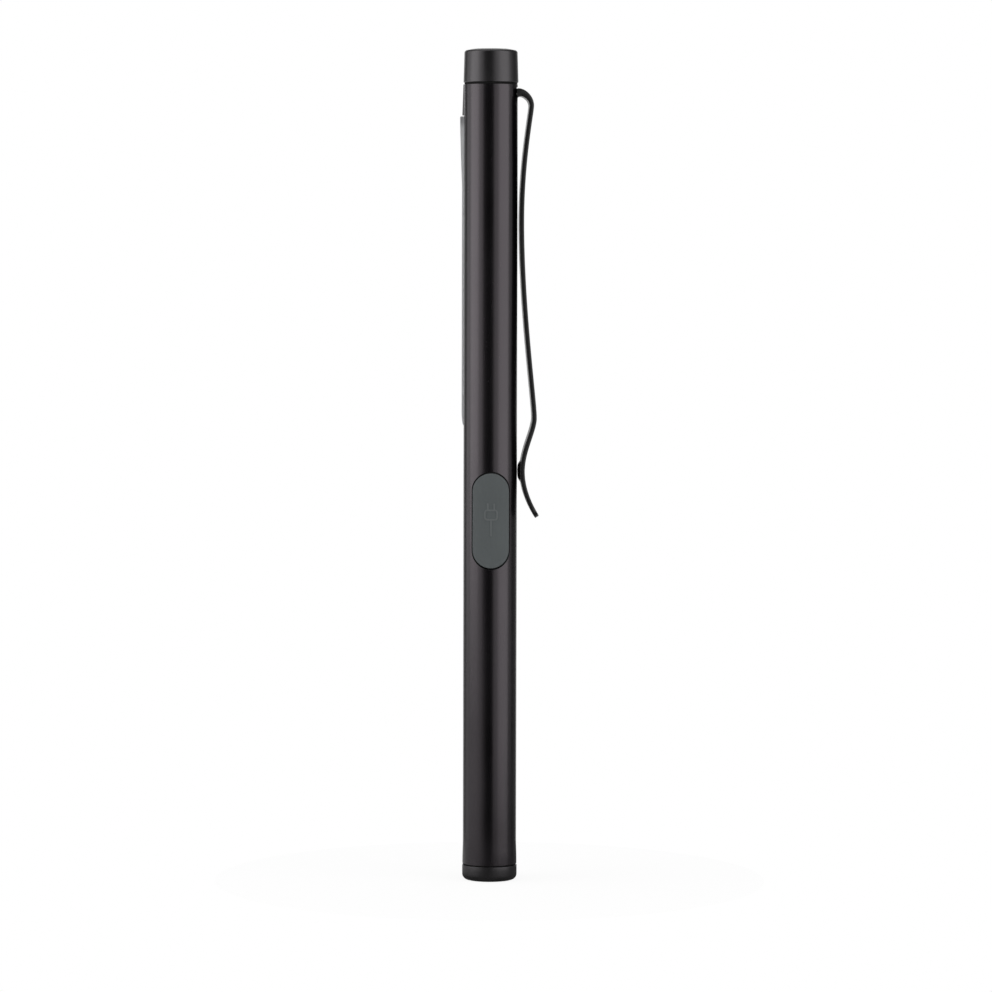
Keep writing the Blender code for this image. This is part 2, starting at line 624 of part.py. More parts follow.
def make_button():
    """The rubber button flush in its hole, and the switch it presses."""
    inner_r = tube_r - BUTTON_THICK
    half_length = BUTTON_LENGTH / 2
    button = turned("push_button", ring_profile(tube_r, inner_r, button_z - half_length - MM,
                                                button_z + half_length + MM), BLACK_RUBBER)
    outline = rounded_bar("button_outline", 0.0, TUBE_OD, BUTTON_WIDTH, BUTTON_LENGTH, button_z,
                          BUTTON_WIDTH * ROUND_END_SHARE, turn=WINDOW_TURN)
    keep_within(button, outline)
    flange_half = half_length + BUTTON_FLANGE
    flange = turned("button_flange", ring_profile(core_r, core_r - BUTTON_FLANGE_THICK,
                                                  button_z - flange_half, button_z + flange_half))
    flange_block = box("button_flange_block",
                       (0.0, -BUTTON_WIDTH / 2 + INSERT_GAP, button_z - flange_half - MM),
                       (TUBE_OD, BUTTON_WIDTH / 2 - INSERT_GAP, button_z + flange_half + MM),
                       turn=WINDOW_TURN)
    keep_within(flange, flange_block)
    body_x0 = strip_board_face + SOLDER_GAP
    body_x1 = body_x0 + SWITCH_HEIGHT
    plunger_x1 = body_x1 + PLUNGER_RISE
    post = rod("button_post", plunger_x1 + TOUCH_GAP, inner_r + MM / 2, BUTTON_POST_OD / 2,
               button_z, turn=WINDOW_TURN)
    join(button, flange, post)
    half = SWITCH_SIZE / 2
    switch = box("switch_body", (body_x0, -half, button_z - half), (body_x1, half, button_z + half),
                 CHIP_BLACK, WINDOW_TURN)
    well_x0 = body_x0 + SWITCH_BASE
    well = rod("plunger_well", well_x0, body_x1 + MM, PLUNGER_OD / 2 + FIT_GAP, button_z,
               turn=WINDOW_TURN)
    cut(switch, well)
    plunger_x0 = well_x0 + SWITCH_TRAVEL + SOLDER_GAP
    plunger = rod("switch_plunger", plunger_x0, plunger_x1, PLUNGER_OD / 2, button_z, NICKEL,
                  WINDOW_TURN)
    for moving in (button, plunger):
        hang_on_pivot(moving, Vector((0.0, 0.0, button_z)))


def make_main_board():
    """The main board with its chips, charge light and charging socket, facing -Y."""
    half = math.sqrt(core_r ** 2 - main_board_back ** 2) - BOARD_EDGE_GAP
    box("main_board", (-half, MAIN_BOARD_FACE, main_board_z0),
        (half, main_board_back, main_board_z1), GREEN_BOARD)
    socket_z0 = port_z - SOCKET_LENGTH / 2
    chip_z = (main_board_z0 + socket_z0) / 2
    front = MAIN_BOARD_FACE - SOLDER_GAP
    back = main_board_back + SOLDER_GAP
    box("charge_chip", (-CHIP_WIDTH / 2, front - CHIP_HEIGHT, chip_z - CHIP_LENGTH / 2),
        (CHIP_WIDTH / 2, front, chip_z + CHIP_LENGTH / 2), CHIP_BLACK)
    box("driver_chip", (-CHIP_WIDTH / 2, back, port_z - CHIP_LENGTH / 2),
        (CHIP_WIDTH / 2, back + CHIP_HEIGHT, port_z + CHIP_LENGTH / 2), CHIP_BLACK)
    light_x = SOCKET_WIDTH / 2 + FIT_GAP
    box("charge_light", (light_x, front - CHARGE_LIGHT_HEIGHT, socket_z0),
        (light_x + CHARGE_LIGHT_SIZE, front, socket_z0 + CHARGE_LIGHT_SIZE), LED_YELLOW)
    shell_r = SOCKET_ROUND
    shell = rounded_bar("usb_socket", -front, SOCKET_MOUTH, SOCKET_WIDTH, SOCKET_LENGTH, port_z,
                        shell_r, STEEL, PORT_TURN)
    bore_width = SOCKET_WIDTH - 2 * SOCKET_WALL
    bore_length = SOCKET_LENGTH - 2 * SOCKET_WALL
    bore = rounded_bar("socket_bore", -front - MM, SOCKET_MOUTH + MM, bore_width, bore_length,
                       port_z, shell_r - SOCKET_WALL, turn=PORT_TURN)
    cut(shell, bore)
    insert = rounded_bar("usb_tongue", -front, -front + TONGUE_BASE, bore_width - 2 * INSERT_GAP,
                         bore_length - 2 * INSERT_GAP, port_z, shell_r - SOCKET_WALL, CHIP_BLACK,
                         PORT_TURN)
    blade = box("tongue_blade", (-front + TONGUE_BASE / 2, -TONGUE_THICK / 2, port_z - TONGUE_WIDTH / 2),
                (SOCKET_MOUTH - TONGUE_RECESS, TONGUE_THICK / 2, port_z + TONGUE_WIDTH / 2),
                turn=PORT_TURN)
    join(insert, blade)


def make_port_cover():
    """The flush rubber cover over the charging socket, hinged at its lower end."""
    half_length = COVER_LENGTH / 2
    hinge = Vector((0.0, -tube_r, port_z - half_length))
    cover = turned("usb_cover", ring_profile(tube_r, bore_r, port_z - half_length - MM,
                                             port_z + half_length + MM), GREY_RUBBER)
    outline = rounded_bar("cover_outline", 0.0, TUBE_OD, COVER_WIDTH, COVER_LENGTH, port_z,
                          COVER_WIDTH * ROUND_END_SHARE, turn=PORT_TURN)
    keep_within(cover, outline)
    plug = box("cover_plug", (SOCKET_MOUTH - PLUG_REACH, -PLUG_WIDTH / 2, port_z - PLUG_LENGTH / 2),
               (tube_r - TUBE_WALL / 2, PLUG_WIDTH / 2, port_z + PLUG_LENGTH / 2), turn=PORT_TURN)
    join(cover, plug)
    hang_on_pivot(cover, hinge)


def hang_on_pivot(obj, origin):
    """Hangs a finished part on an empty at its joint's axis, where it stays in place."""
    pivot = bpy.data.objects.new(obj.name + "_pivot", None)
    pivot.location = origin
    pivot.empty_display_size = 0.003
    PARTS.objects.link(pivot)
    obj.parent = pivot
    obj.matrix_parent_inverse = Matrix.Translation(-origin)


def make_battery():
    """The cell with its crimped neck and tabs."""
    nub_r = BATTERY_NUB_OD / 2
    crimp_z = battery_z1 - BATTERY_CRIMP_DROP
    turned("battery_cell", [
        (0.0, battery_z1 + BATTERY_NUB_HEIGHT), (nub_r, battery_z1 + BATTERY_NUB_HEIGHT),
        (nub_r, battery_z1), (cell_r, battery_z1), (cell_r, crimp_z + BATTERY_CRIMP_HALF),
        (cell_r - BATTERY_CRIMP, crimp_z), (cell_r, crimp_z - BATTERY_CRIMP_HALF),
        (cell_r, battery_z0), (0.0, battery_z0)], CELL_WRAP, SMALL_STEPS * 2)
    tab_half = TAB_WIDTH / 2
    top_z0 = battery_z1 + BATTERY_NUB_HEIGHT + SOLDER_GAP
    box("battery_tab_top", (-tab_half, -cell_r + TAB_WIDTH / 2, top_z0),
        (tab_half, tab_half, top_z0 + TAB_THICK), NICKEL)
    side_y = -cell_r - SOLDER_GAP
    box("battery_tab_side", (-tab_half, side_y - TAB_THICK, battery_z0 + MM),
        (tab_half, side_y, battery_z0 + MM + TAB_LENGTH), NICKEL)


def make_chassis():
    """The moulded core: battery cradle, board rails and two bulkheads, open on its board side."""
    cradle_z1 = low_bulkhead_z0 + CRADLE_INTO_BULKHEAD
    chassis = turned("chassis", [
        (core_r, chassis_z1), (core_r, chassis_z0), (cradle_r, chassis_z0),
        (cradle_r, cradle_z1), (rail_r, cradle_z1), (rail_r, chassis_z1)], BLACK_PLASTIC)
    reach = TUBE_OD
    cradle_side = box("cradle_side", (-reach, -reach, chassis_z0 - MM),
                      (reach, -CRADLE_LIP, low_bulkhead_z1 - CUT_BELOW_BULKHEAD_TOP))
    board_side = box("board_side", (-reach, -reach, low_bulkhead_z0 + CUT_ABOVE_BULKHEAD_FOOT),
                     (reach, main_board_back + FIT_GAP, high_bulkhead_z1 - CUT_BELOW_BULKHEAD_TOP))
    bar_side = box("bar_side", (strip_board_back - LENS_GAP, -reach,
                                high_bulkhead_z0 + CUT_ABOVE_BULKHEAD_FOOT),
                   (reach, reach, chassis_z1 + MM), turn=WINDOW_TURN)
    cut(chassis, cradle_side, board_side, bar_side)
    disc_r = core_r - RAIL_THICK / 4
    low_disc = turned("low_disc", disc_profile(disc_r, low_bulkhead_z0, low_bulkhead_z1))
    high_disc = turned("high_disc", disc_profile(disc_r, high_bulkhead_z0, high_bulkhead_z1))
    join(chassis, low_disc, high_disc)
    low_notch = box("low_notch", (-LOW_NOTCH_HALF, -reach, low_bulkhead_z0 - MM / 2),
                    (LOW_NOTCH_HALF, -LOW_NOTCH_START, low_bulkhead_z1 + MM / 2))
    high_notch = box("high_notch", (-HIGH_NOTCH_LEFT, -HIGH_NOTCH_FRONT, high_bulkhead_z0 - MM / 2),
                     (HIGH_NOTCH_RIGHT, HIGH_NOTCH_BACK, high_bulkhead_z1 + MM / 2))
    cut(chassis, low_notch, high_notch)


def make_clip():
    """The spring steel clip: a hook inside the tube, an arch, a belly, a dimple and a lifted tip."""
    data = bpy.data.curves.new("pocket_clip", "CURVE")
    data.dimensions = "2D"
    data.resolution_u = 10
    data.extrude = CLIP_WIDTH / 2 + TOUCH_GAP
    hook_x = core_r - CLIP_THICK / 2 - LENS_GAP
    bend = CLIP_HOOK_BEND
    hook_handle = bend * CLIP_HOOK_ROUND
    to_waist = CLIP_WAIST_DROP - CLIP_ARCH_DROP
    to_belly = CLIP_BELLY_DROP - CLIP_WAIST_DROP
    to_neck = CLIP_NECK_DROP - CLIP_BELLY_DROP
    to_tip = CLIP_TIP_DROP - CLIP_NECK_DROP
    stations = [
        ((hook_x, -CLIP_HOOK_LENGTH), (0.0, 1.0), bend / 2, bend / 2),
        ((hook_x, -bend), (0.0, 1.0), bend / 2, hook_handle),
        ((hook_x + bend, 0.0), (1.0, 0.0), hook_handle, bend / 4),
        ((tube_r, 0.0), (1.0, 0.0), bend / 4, CLIP_ARCH_OUT / 2),
        ((tube_r + CLIP_ARCH_OUT, -CLIP_ARCH_DROP), (0.0, -1.0), CLIP_ARCH_DROP / 2,
         CLIP_ARCH_DROP / 2),
        ((tube_r + CLIP_WAIST_OUT, -CLIP_WAIST_DROP), (0.0, -1.0),
         to_waist * CLIP_WAIST_REACH[0], to_belly * CLIP_WAIST_REACH[1]),
        ((tube_r + CLIP_BELLY_OUT, -CLIP_BELLY_DROP), (0.0, -1.0),
         to_belly * CLIP_BELLY_REACH[0], to_neck * CLIP_BELLY_REACH[1]),
        ((tube_r + CLIP_NECK_OUT, -CLIP_NECK_DROP), (0.0, -1.0),
         to_neck * CLIP_NECK_REACH[0], to_tip * CLIP_NECK_REACH[1]),
        ((tube_r + CLIP_TIP_OUT, -CLIP_TIP_DROP), CLIP_TIP_HEADING,
         to_tip * CLIP_TIP_REACH, CLIP_THICK),
    ]
    spline = data.splines.new("BEZIER")
    spline.bezier_points.add(len(stations) - 1)
    for point, (place, along, before, after) in zip(spline.bezier_points, stations):
        here = Vector((*place, 0.0))
        heading = Vector((*along, 0.0)).normalized()
        point.handle_left_type = "FREE"
        point.handle_right_type = "FREE"
        point.co = here
        point.handle_left = here - heading * before
        point.handle_right = here + heading * after
    guide = bpy.data.objects.new("clip_guide", data)
    guide.location.z = clip_root_z
    guide.rotation_euler.x = math.pi / 2
    clip = meshed(guide, "pocket_clip", SPRING_STEEL)
    shell = clip.modifiers.new("Thickness", "SOLIDIFY")
    shell.thickness = CLIP_THICK
    shell.offset = 0.0
    shell.use_even_offset = True
    plan_z0 = clip_root_z - CLIP_TIP_DROP - CLIP_TIP_OVERHANG
    plan_height = CLIP_TIP_DROP + CLIP_ARCH_ROOM + CLIP_TIP_ROUND
    plan = rounded_bar("clip_plan", 0.0, 3 * tube_r, CLIP_WIDTH, plan_height,
                       plan_z0 + plan_height / 2, CLIP_TIP_ROUND)
    keep_within(clip, plan)
    shoulder_x = tube_r + CLIP_THICK / 2
    for side in (-1, 1):
        inner = side * CLIP_TANG_WIDTH / 2
        outer = side * CLIP_WIDTH
        name = "tang_left" if side < 0 else "tang_right"
        trim = box(name, (0.0, min(inner, outer), clip_root_z - CLIP_HOOK_LENGTH - CLIP_THICK),
                   (shoulder_x, max(inner, outer), clip_root_z + CLIP_THICK))
        cut(clip, trim)
    bm = bmesh.new()
    dimple_x0 = tube_r + TOUCH_GAP
    dimple_x1 = tube_r + CLIP_NECK_OUT
    bmesh.ops.create_cone(bm, cap_ends=True, segments=SMALL_STEPS, radius1=CLIP_DIMPLE_TOP / 2,
                          radius2=CLIP_DIMPLE_OD / 2, depth=dimple_x1 - dimple_x0)
    bmesh.ops.rotate(bm, matrix=Matrix.Rotation(math.pi / 2, 3, "Y"), verts=bm.verts)
    bmesh.ops.translate(bm, vec=((dimple_x0 + dimple_x1) / 2, 0.0, clip_root_z - CLIP_NECK_DROP),
                        verts=bm.verts)
    join(clip, mesh_object("clip_dimple", bm))
    hang_on_pivot(clip, Vector((clip_axis_x, 0.0, clip_root_z)))


def make_wires():
    """Six leads: the battery's two, the spot light's two and the light bar's two."""
    front = MAIN_BOARD_FACE - wire_r - INSERT_GAP
    cell_side = -cell_r - 2 * SOLDER_GAP - TAB_THICK - wire_r
    tab_top = battery_z1 + BATTERY_NUB_HEIGHT + SOLDER_GAP + TAB_THICK
    notch_y = -BATTERY_WIRE_PLANE
    board_low = main_board_z0 + WIRE_LANDING
    wire("battery_wire_red", [
        (RED_LEAD_SIDES[0], notch_y, tab_top + wire_r + INSERT_GAP),
        (RED_LEAD_SIDES[1], notch_y, low_bulkhead_z0),
        (RED_LEAD_SIDES[2], notch_y, low_bulkhead_z1),
        (BATTERY_PAD_SIDE, front, board_low)], WIRE_RED)
    wire("battery_wire_black", [
        (0.0, cell_side, battery_z0 + 2 * MM),
        (0.0, cell_side, (battery_z0 + battery_z1) / 2),
        (0.0, cell_side, battery_z1 - MM),
        (-BLACK_LEAD_SIDES[0], notch_y - BLACK_LEAD_FRONTS[0], low_bulkhead_z0),
        (-BLACK_LEAD_SIDES[1], notch_y - BLACK_LEAD_FRONTS[1], low_bulkhead_z1),
        (-BATTERY_PAD_SIDE, front, board_low)], WIRE_BLACK)
    board_high = main_board_z1 - WIRE_LANDING
    for name, side, mat in (("spot_wire_red", -SPOT_WIRE_SIDE, WIRE_RED),
                            ("spot_wire_black", SPOT_WIRE_SIDE, WIRE_BLACK)):
        out = -SPOT_WIRE_DEPTH
        x, y, z = window_point(out, side, high_bulkhead_z1)
        wire(name, [
            window_point(out, side, spot_board_z0 - INSERT_GAP),
            window_point(out, side, chassis_z1),
            window_point(out, side, (chassis_z1 + high_bulkhead_z1) / 2),
            (x, y, z),
            (x, min(y, front), high_bulkhead_z0),
            (x, front, board_high)], mat)
    for name, side, mat in (("strip_wire_red", STRIP_WIRE_NEAR, WIRE_RED),
                            ("strip_wire_black", STRIP_WIRE_FAR, WIRE_BLACK)):
        out = strip_board_back - wire_r - INSERT_GAP
        x, y, z = window_point(out, side, strip_board_z0 + STRIP_WIRE_START)
        wire(name, [
            (x, y, z),
            window_point(out - STRIP_WIRE_TUCK, side, high_bulkhead_z1),
            (x, min(y, front), high_bulkhead_z0),
            (x, front, board_high)], mat)


make_body_tube()
make_tail()
make_head_cap()
make_spot_light()
make_strip_lens()
make_end_piece()
make_light_bar()
make_button()
make_main_board()
make_port_cover()
make_battery()
make_chassis()
make_clip()
make_wires()
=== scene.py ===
import math

import bmesh
import bpy
from mathutils import Matrix, Quaternion, Vector
from mathutils.geometry import interpolate_bezier


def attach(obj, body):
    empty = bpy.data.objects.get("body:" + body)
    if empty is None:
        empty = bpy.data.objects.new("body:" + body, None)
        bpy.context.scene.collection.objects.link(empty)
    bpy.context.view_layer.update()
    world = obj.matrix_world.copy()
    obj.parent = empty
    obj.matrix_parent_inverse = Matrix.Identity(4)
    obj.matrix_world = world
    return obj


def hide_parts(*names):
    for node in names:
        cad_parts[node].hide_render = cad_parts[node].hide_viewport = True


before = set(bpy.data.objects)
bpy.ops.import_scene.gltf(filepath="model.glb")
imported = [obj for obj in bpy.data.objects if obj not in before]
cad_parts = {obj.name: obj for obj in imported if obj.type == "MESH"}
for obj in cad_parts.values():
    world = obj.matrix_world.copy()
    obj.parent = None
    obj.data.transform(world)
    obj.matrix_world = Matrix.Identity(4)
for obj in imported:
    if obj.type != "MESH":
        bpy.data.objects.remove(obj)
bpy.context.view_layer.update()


# Camera. It stands about a metre off and a little above the middle of the light, and faces the
# cover over the charging socket. It leans by a fraction of a degree, as the photograph does.
MM = 0.001
AIM = Vector((1.276 * MM, 0.0, 83.91 * MM))
EYE_DISTANCE = 950.0 * MM
EYE_TURN = math.radians(-2.0)
EYE_RISE = math.radians(3.25)
EYE_ROLL = math.radians(0.124)
EYE_LENS = 158.3


def placed(name, data):
    """A new object in the scene."""
    obj = bpy.data.objects.new(name, data)
    bpy.context.scene.collection.objects.link(obj)
    return obj


camera = placed("camera", bpy.data.cameras.new("camera"))
bpy.context.scene.camera = camera
camera.data.lens = EYE_LENS
camera.data.clip_start = 10.0 * MM
camera.data.clip_end = 10.0
eye_side = Vector((math.sin(EYE_TURN) * math.cos(EYE_RISE),
                   -math.cos(EYE_TURN) * math.cos(EYE_RISE), math.sin(EYE_RISE)))
camera.location = AIM + eye_side * EYE_DISTANCE
camera.rotation_mode = "QUATERNION"
camera.rotation_quaternion = ((-eye_side).to_track_quat("-Z", "Y")
                              @ Quaternion((0.0, 0.0, 1.0), EYE_ROLL))
bpy.context.scene.view_settings.view_transform = "Standard"


# Studio. A white room that is bright behind the light and dark in front of it, so that the black
# tube keeps a dark middle, with a pale table on the left. A dim wall fades in towards the back, and
# soft bands stand low down for views from higher up. Diffuse rays meet an even grey fill.
FILL = 0.35
DARK_SIDE = 0.01
BEHIND_FROM = (math.cos(math.radians(38.0)), math.cos(math.radians(16.0)))
TABLE_GLOW = 0.6
TABLE_SIDE = (-0.35, -0.75)
TABLE_TOP = (0.0, -0.05)
TABLE_BACK = (0.5, 0.8)
DIM_WALL = 0.11
DIM_WALL_FROM = (0.15, 0.45)
LOW_GLOW = 1.1
LOW_START = (-0.19, -0.26)
LOW_BANDS = (0.18, 0.36)


def connect(tree, socket, value):
    """Links a socket to another node's output, or sets it to a plain value."""
    if isinstance(value, bpy.types.NodeSocket):
        tree.links.new(value, socket)
    else:
        socket.default_value = value


def fed(tree, node, **inputs):
    """A node with some of its inputs set or linked, whose names have _ for a space."""
    for name, value in inputs.items():
        connect(tree, node.inputs[name.replace("_", " ")], value)
    return node


def add(tree, kind, **inputs):
    """A new shader node with some of its inputs set or linked."""
    return fed(tree, tree.nodes.new("ShaderNode" + kind), **inputs)


def calculate(tree, operation, first, second=0.0):
    """The result of a Math node with one or two inputs."""
    node = tree.nodes.new("ShaderNodeMath")
    node.operation = operation
    for socket, value in zip(node.inputs, (first, second)):
        connect(tree, socket, value)
    return node.outputs[0]


def ramp(tree, value, span=(0.0, 1.0), levels=(0.0, 1.0)):
    """Maps a value from a span to two levels, which hold beyond its ends."""
    return add(tree, "MapRange", Value=value, From_Min=span[0], From_Max=span[1],
               To_Min=levels[0], To_Max=levels[1]).outputs["Result"]


def seen_rays(tree):
    """1 for rays of the camera, of gloss and of glass, and which of these are the camera's."""
    path = add(tree, "LightPath")
    mirrored = calculate(tree, "MAXIMUM", path.outputs["Is Glossy Ray"],
                         path.outputs["Is Transmission Ray"])
    return mirrored, path.outputs["Is Camera Ray"]


world = bpy.data.worlds.new("studio")
bpy.context.scene.world = world
world.use_nodes = True
room = world.node_tree
room.nodes.clear()
mirrored, looked_at = seen_rays(room)
direction = add(room, "SeparateXYZ", Vector=add(room, "TexCoord").outputs["Generated"])
across, deep, high = (direction.outputs[axis] for axis in "XYZ")
table = calculate(room, "MULTIPLY", ramp(room, deep, TABLE_BACK, (1.0, 0.0)),
                  calculate(room, "MULTIPLY", ramp(room, across, TABLE_SIDE),
                            ramp(room, high, TABLE_TOP, (0.0, TABLE_GLOW))))
corner = calculate(room, "ABSOLUTE", calculate(room, "MULTIPLY", across, deep))
bands = calculate(room, "MULTIPLY", ramp(room, corner, LOW_BANDS),
                  ramp(room, high, LOW_START, (0.0, LOW_GLOW)))
around = DARK_SIDE
for glow in (ramp(room, deep, BEHIND_FROM, (DARK_SIDE, 1.0)), table,
             ramp(room, deep, DIM_WALL_FROM, (DARK_SIDE, DIM_WALL)), bands):
    around = calculate(room, "MAXIMUM", glow, around)
unseen = add(room, "Mix", Factor=mirrored, A=FILL, B=around)
level = add(room, "Mix", Factor=looked_at, A=unseen.outputs["Result"], B=1.0)
backing = add(room, "Background", Color=(1.0, 1.0, 1.0, 1.0), Strength=level.outputs["Result"])
room.links.new(backing.outputs["Background"], add(room, "OutputWorld").inputs["Surface"])


# Floor and lamps. A small pale floor holds the object's shadow, and the pale table goes on in it
# on the left. A tall soft lamp stands at each side between two weaker ones that feather its edges,
# and one hangs overhead.
FLOOR_RADIUS = 60.0 * MM
FLOOR_DROP = 0.03 * MM
FLOOR_GLOW = 0.9
FLOOR_MIRRORED = (0.05, 0.45)
FLOOR_SIDE = (-8.0 * MM, -20.0 * MM)
LAMP_DISTANCE = 900.0 * MM
LAMP_HEIGHT = 1300.0 * MM
LAMPS = {
    "lamp_left": (-55.0, -97.0, 0.0, 2.25),
    "lamp_left_feather": (-35.0, -55.0, 0.0, 0.95),
    "lamp_left_back": (-97.0, -124.0, 0.0, 0.8),
    "lamp_right": (33.0, 82.0, -104.0 * MM, 1.85),
    "lamp_right_feather": (12.0, 33.0, -104.0 * MM, 0.88),
    "lamp_right_back": (82.0, 103.0, -104.0 * MM, 0.42),
}
OVERHEAD = (1000.0 * MM, 800.0 * MM, 1.1)


def as_mesh(name, bm):
    """Puts a finished bmesh in a new mesh."""
    mesh = bpy.data.meshes.new(name)
    bm.to_mesh(mesh)
    bm.free()
    return mesh


floor_bm = bmesh.new()
bmesh.ops.create_circle(floor_bm, cap_ends=True, segments=128, radius=FLOOR_RADIUS)
bmesh.ops.translate(floor_bm, vec=(0.0, 0.0, -FLOOR_DROP), verts=floor_bm.verts)
floor_mesh = as_mesh("floor", floor_bm)
placed("floor", floor_mesh)

floor_paint = bpy.data.materials.new("pale_floor")
floor_paint.use_nodes = True
paint = floor_paint.node_tree
paint.nodes.clear()
mirrored, looked_at = seen_rays(paint)
glow = calculate(paint, "MULTIPLY", calculate(paint, "MAXIMUM", mirrored, looked_at), FLOOR_GLOW)
floor_place = add(paint, "TexCoord").outputs["Object"]
table_side = ramp(paint, add(paint, "SeparateXYZ", Vector=floor_place).outputs["X"], FLOOR_SIDE,
                  FLOOR_MIRRORED)
shown = add(paint, "Mix", Factor=looked_at, A=table_side, B=1.0)
speckle = add(paint, "TexNoise", Scale=900.0, Detail=3.0, Vector=floor_place)
matt = add(paint, "BsdfPrincipled", Roughness=0.9,
           Base_Color=ramp(paint, speckle.outputs["Fac"], levels=(0.93, 0.97)))
lit = add(paint, "Emission", Color=(1.0, 1.0, 1.0, 1.0), Strength=shown.outputs["Result"])
blend = add(paint, "MixShader", Fac=glow)
paint.links.new(matt.outputs["BSDF"], blend.inputs[1])
paint.links.new(lit.outputs["Emission"], blend.inputs[2])
paint.links.new(blend.outputs["Shader"], add(paint, "OutputMaterial").inputs["Surface"])
floor_mesh.materials.append(floor_paint)


def hang_lamp(name, place, target, width, height, radiance):
    """A rectangular lamp of the given brightness that faces a point."""
    data = bpy.data.lights.new(name, "AREA")
    data.shape = "RECTANGLE"
    data.size = width
    data.size_y = height
    data.energy = radiance * math.pi * width * height
    lamp = placed(name, data)
    lamp.location = place
    lamp.rotation_euler = (target - place).to_track_quat("-Z", "Y").to_euler()
    lamp.visible_camera = False


for name, (near, far, foot, radiance) in LAMPS.items():
    side = math.radians((near + far) / 2)
    width = 2 * LAMP_DISTANCE * math.tan(math.radians(abs(far - near) / 2))
    middle = foot + LAMP_HEIGHT / 2
    place = Vector((math.sin(side) * LAMP_DISTANCE, -math.cos(side) * LAMP_DISTANCE, middle))
    hang_lamp(name, place, Vector((0.0, 0.0, middle)), width, LAMP_HEIGHT, radiance)
hang_lamp("lamp_top", Vector((0.0, 0.0, OVERHEAD[0])), Vector((0.0, 0.001, 0.0)), OVERHEAD[1],
          OVERHEAD[1], OVERHEAD[2])


# Body tube. Extruded aluminium, turned to length, milled open for the light bar, the button, the
# charging cover and the clip, blasted and anodised black. Its lower end is slightly flared.
# Sizes from here on are in millimetres.
TUBE_RADIUS = 5.825
TUBE_WALL = 0.8
TUBE_FOOT = 3.6
TUBE_TOP = 173.2
TUBE_LIP = 0.08
TUBE_LIP_TOP = 8.4
TUBE_LIP_TAPER = 4.2
TUBE_EDGE = 0.08
TUBE_SLICES = 216
TUBE_SEAM = math.radians(60.0)
SLOT_HALF = 3.05
SLOT_FOOT = 99.1
BAR_TURN = math.radians(148.0)
BUTTON_HOLE = (5.6, 8.6)
BUTTON_Z = 91.8
PORT_TURN = math.radians(270.0)
PORT_HOLE = (8.2, 21.2)
PORT_Z = 78.8
CLIP_TURN = math.radians(360.0)
CLIP_ROOT_Z = 171.8
CLIP_SLOT = (3.6, 1.6)
CUTTER = 2.0
FULL_ROUND = 0.4999
SHARP_EDGE = math.radians(50.0)
SHADED_SHARP = math.radians(38.0)
CLOUD_SHARE = 0.6
GRAIN_SHARE = 0.4
MARK_WEAR = 0.5


def moved(bm, x, y, z):
    """Shifts a piece."""
    bmesh.ops.translate(bm, vec=(x, y, z), verts=bm.verts)
    return bm


def block(low, high):
    """A box between two corners."""
    bm = bmesh.new()
    bmesh.ops.create_cube(bm, size=1.0)
    bmesh.ops.scale(bm, vec=Vector(high) - Vector(low), verts=bm.verts)
    return moved(bm, *(Vector(low) + Vector(high)) / 2)


def bar(near, far, width, height, centre_z, corner, segments=24):
    """A bar along X whose width by height section has round corners."""
    bm = block((near, -width / 2, centre_z - height / 2), (far, width / 2, centre_z + height / 2))
    lengthwise = [e for e in bm.edges if abs(e.verts[0].co.x - e.verts[1].co.x) > (far - near) / 2]
    bmesh.ops.bevel(bm, geom=lengthwise, offset=corner, segments=segments, profile=0.5,
                    affect="EDGES", material=-1)
    bmesh.ops.remove_doubles(bm, verts=bm.verts, dist=0.002)
    return bm


def carved(bm, others, operation="DIFFERENCE"):
    """The solid after exact Booleans with other solids."""
    target, *tools = [placed("loose", as_mesh("loose", each)) for each in (bm, *others)]
    for tool in tools:
        cut = target.modifiers.new("cut", "BOOLEAN")
        cut.operation = operation
        cut.solver = "EXACT"
        cut.object = tool
    graph = bpy.context.evaluated_depsgraph_get()
    mesh = bpy.data.meshes.new_from_object(target.evaluated_get(graph))
    result = bmesh.new()
    result.from_mesh(mesh)
    for used in [target, *tools]:
        data = used.data
        bpy.data.objects.remove(used)
        bpy.data.meshes.remove(data)
    bpy.data.meshes.remove(mesh)
    bmesh.ops.remove_doubles(result, verts=result.verts, dist=0.0005)
    return result


def sharp_edges(bm):
    """Edges whose two faces meet at a sharp angle."""
    bm.normal_update()
    return [e for e in bm.edges if len(e.link_faces) == 2 and e.calc_face_angle() > SHARP_EDGE]


def soften(bm, edges, offset, segments=3):
    """Rounds edges with a small fillet."""
    bmesh.ops.bevel(bm, geom=edges, offset=offset, segments=segments, profile=0.5, affect="EDGES",
                    material=-1, clamp_overlap=True)


def slice_along(bm, axis, places):
    """Cuts all faces across an axis at a number of places."""
    normal = Vector((0.0, 0.0, 0.0))
    normal[axis] = 1.0
    for place in places:
        bmesh.ops.bisect_plane(bm, geom=[*bm.verts, *bm.edges, *bm.faces], dist=0.00001,
                               plane_co=normal * place, plane_no=normal)


def slice_across(bm, half, steps):
    """Cuts a piece that reaches as far on both sides of the middle into equal strips."""
    slice_along(bm, 1, [half * (2.0 * i / steps - 1.0) for i in range(1, steps)])


def finished(name, bm, finish, node, body="body"):
    """Merges, scales and shades a piece, and lets it ride in place of its CAD node."""
    bmesh.ops.remove_doubles(bm, verts=bm.verts, dist=0.0008)
    bmesh.ops.recalc_face_normals(bm, faces=bm.faces)
    bmesh.ops.scale(bm, vec=(MM, MM, MM), verts=bm.verts)
    mesh = as_mesh(name, bm)
    mesh.shade_smooth()
    mesh.set_sharp_from_angle(angle=SHADED_SHARP)
    for each in finish if isinstance(finish, list) else [finish]:
        mesh.materials.append(each)
    obj = placed(name, mesh)
    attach(obj, body)
    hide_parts(node)
    return obj


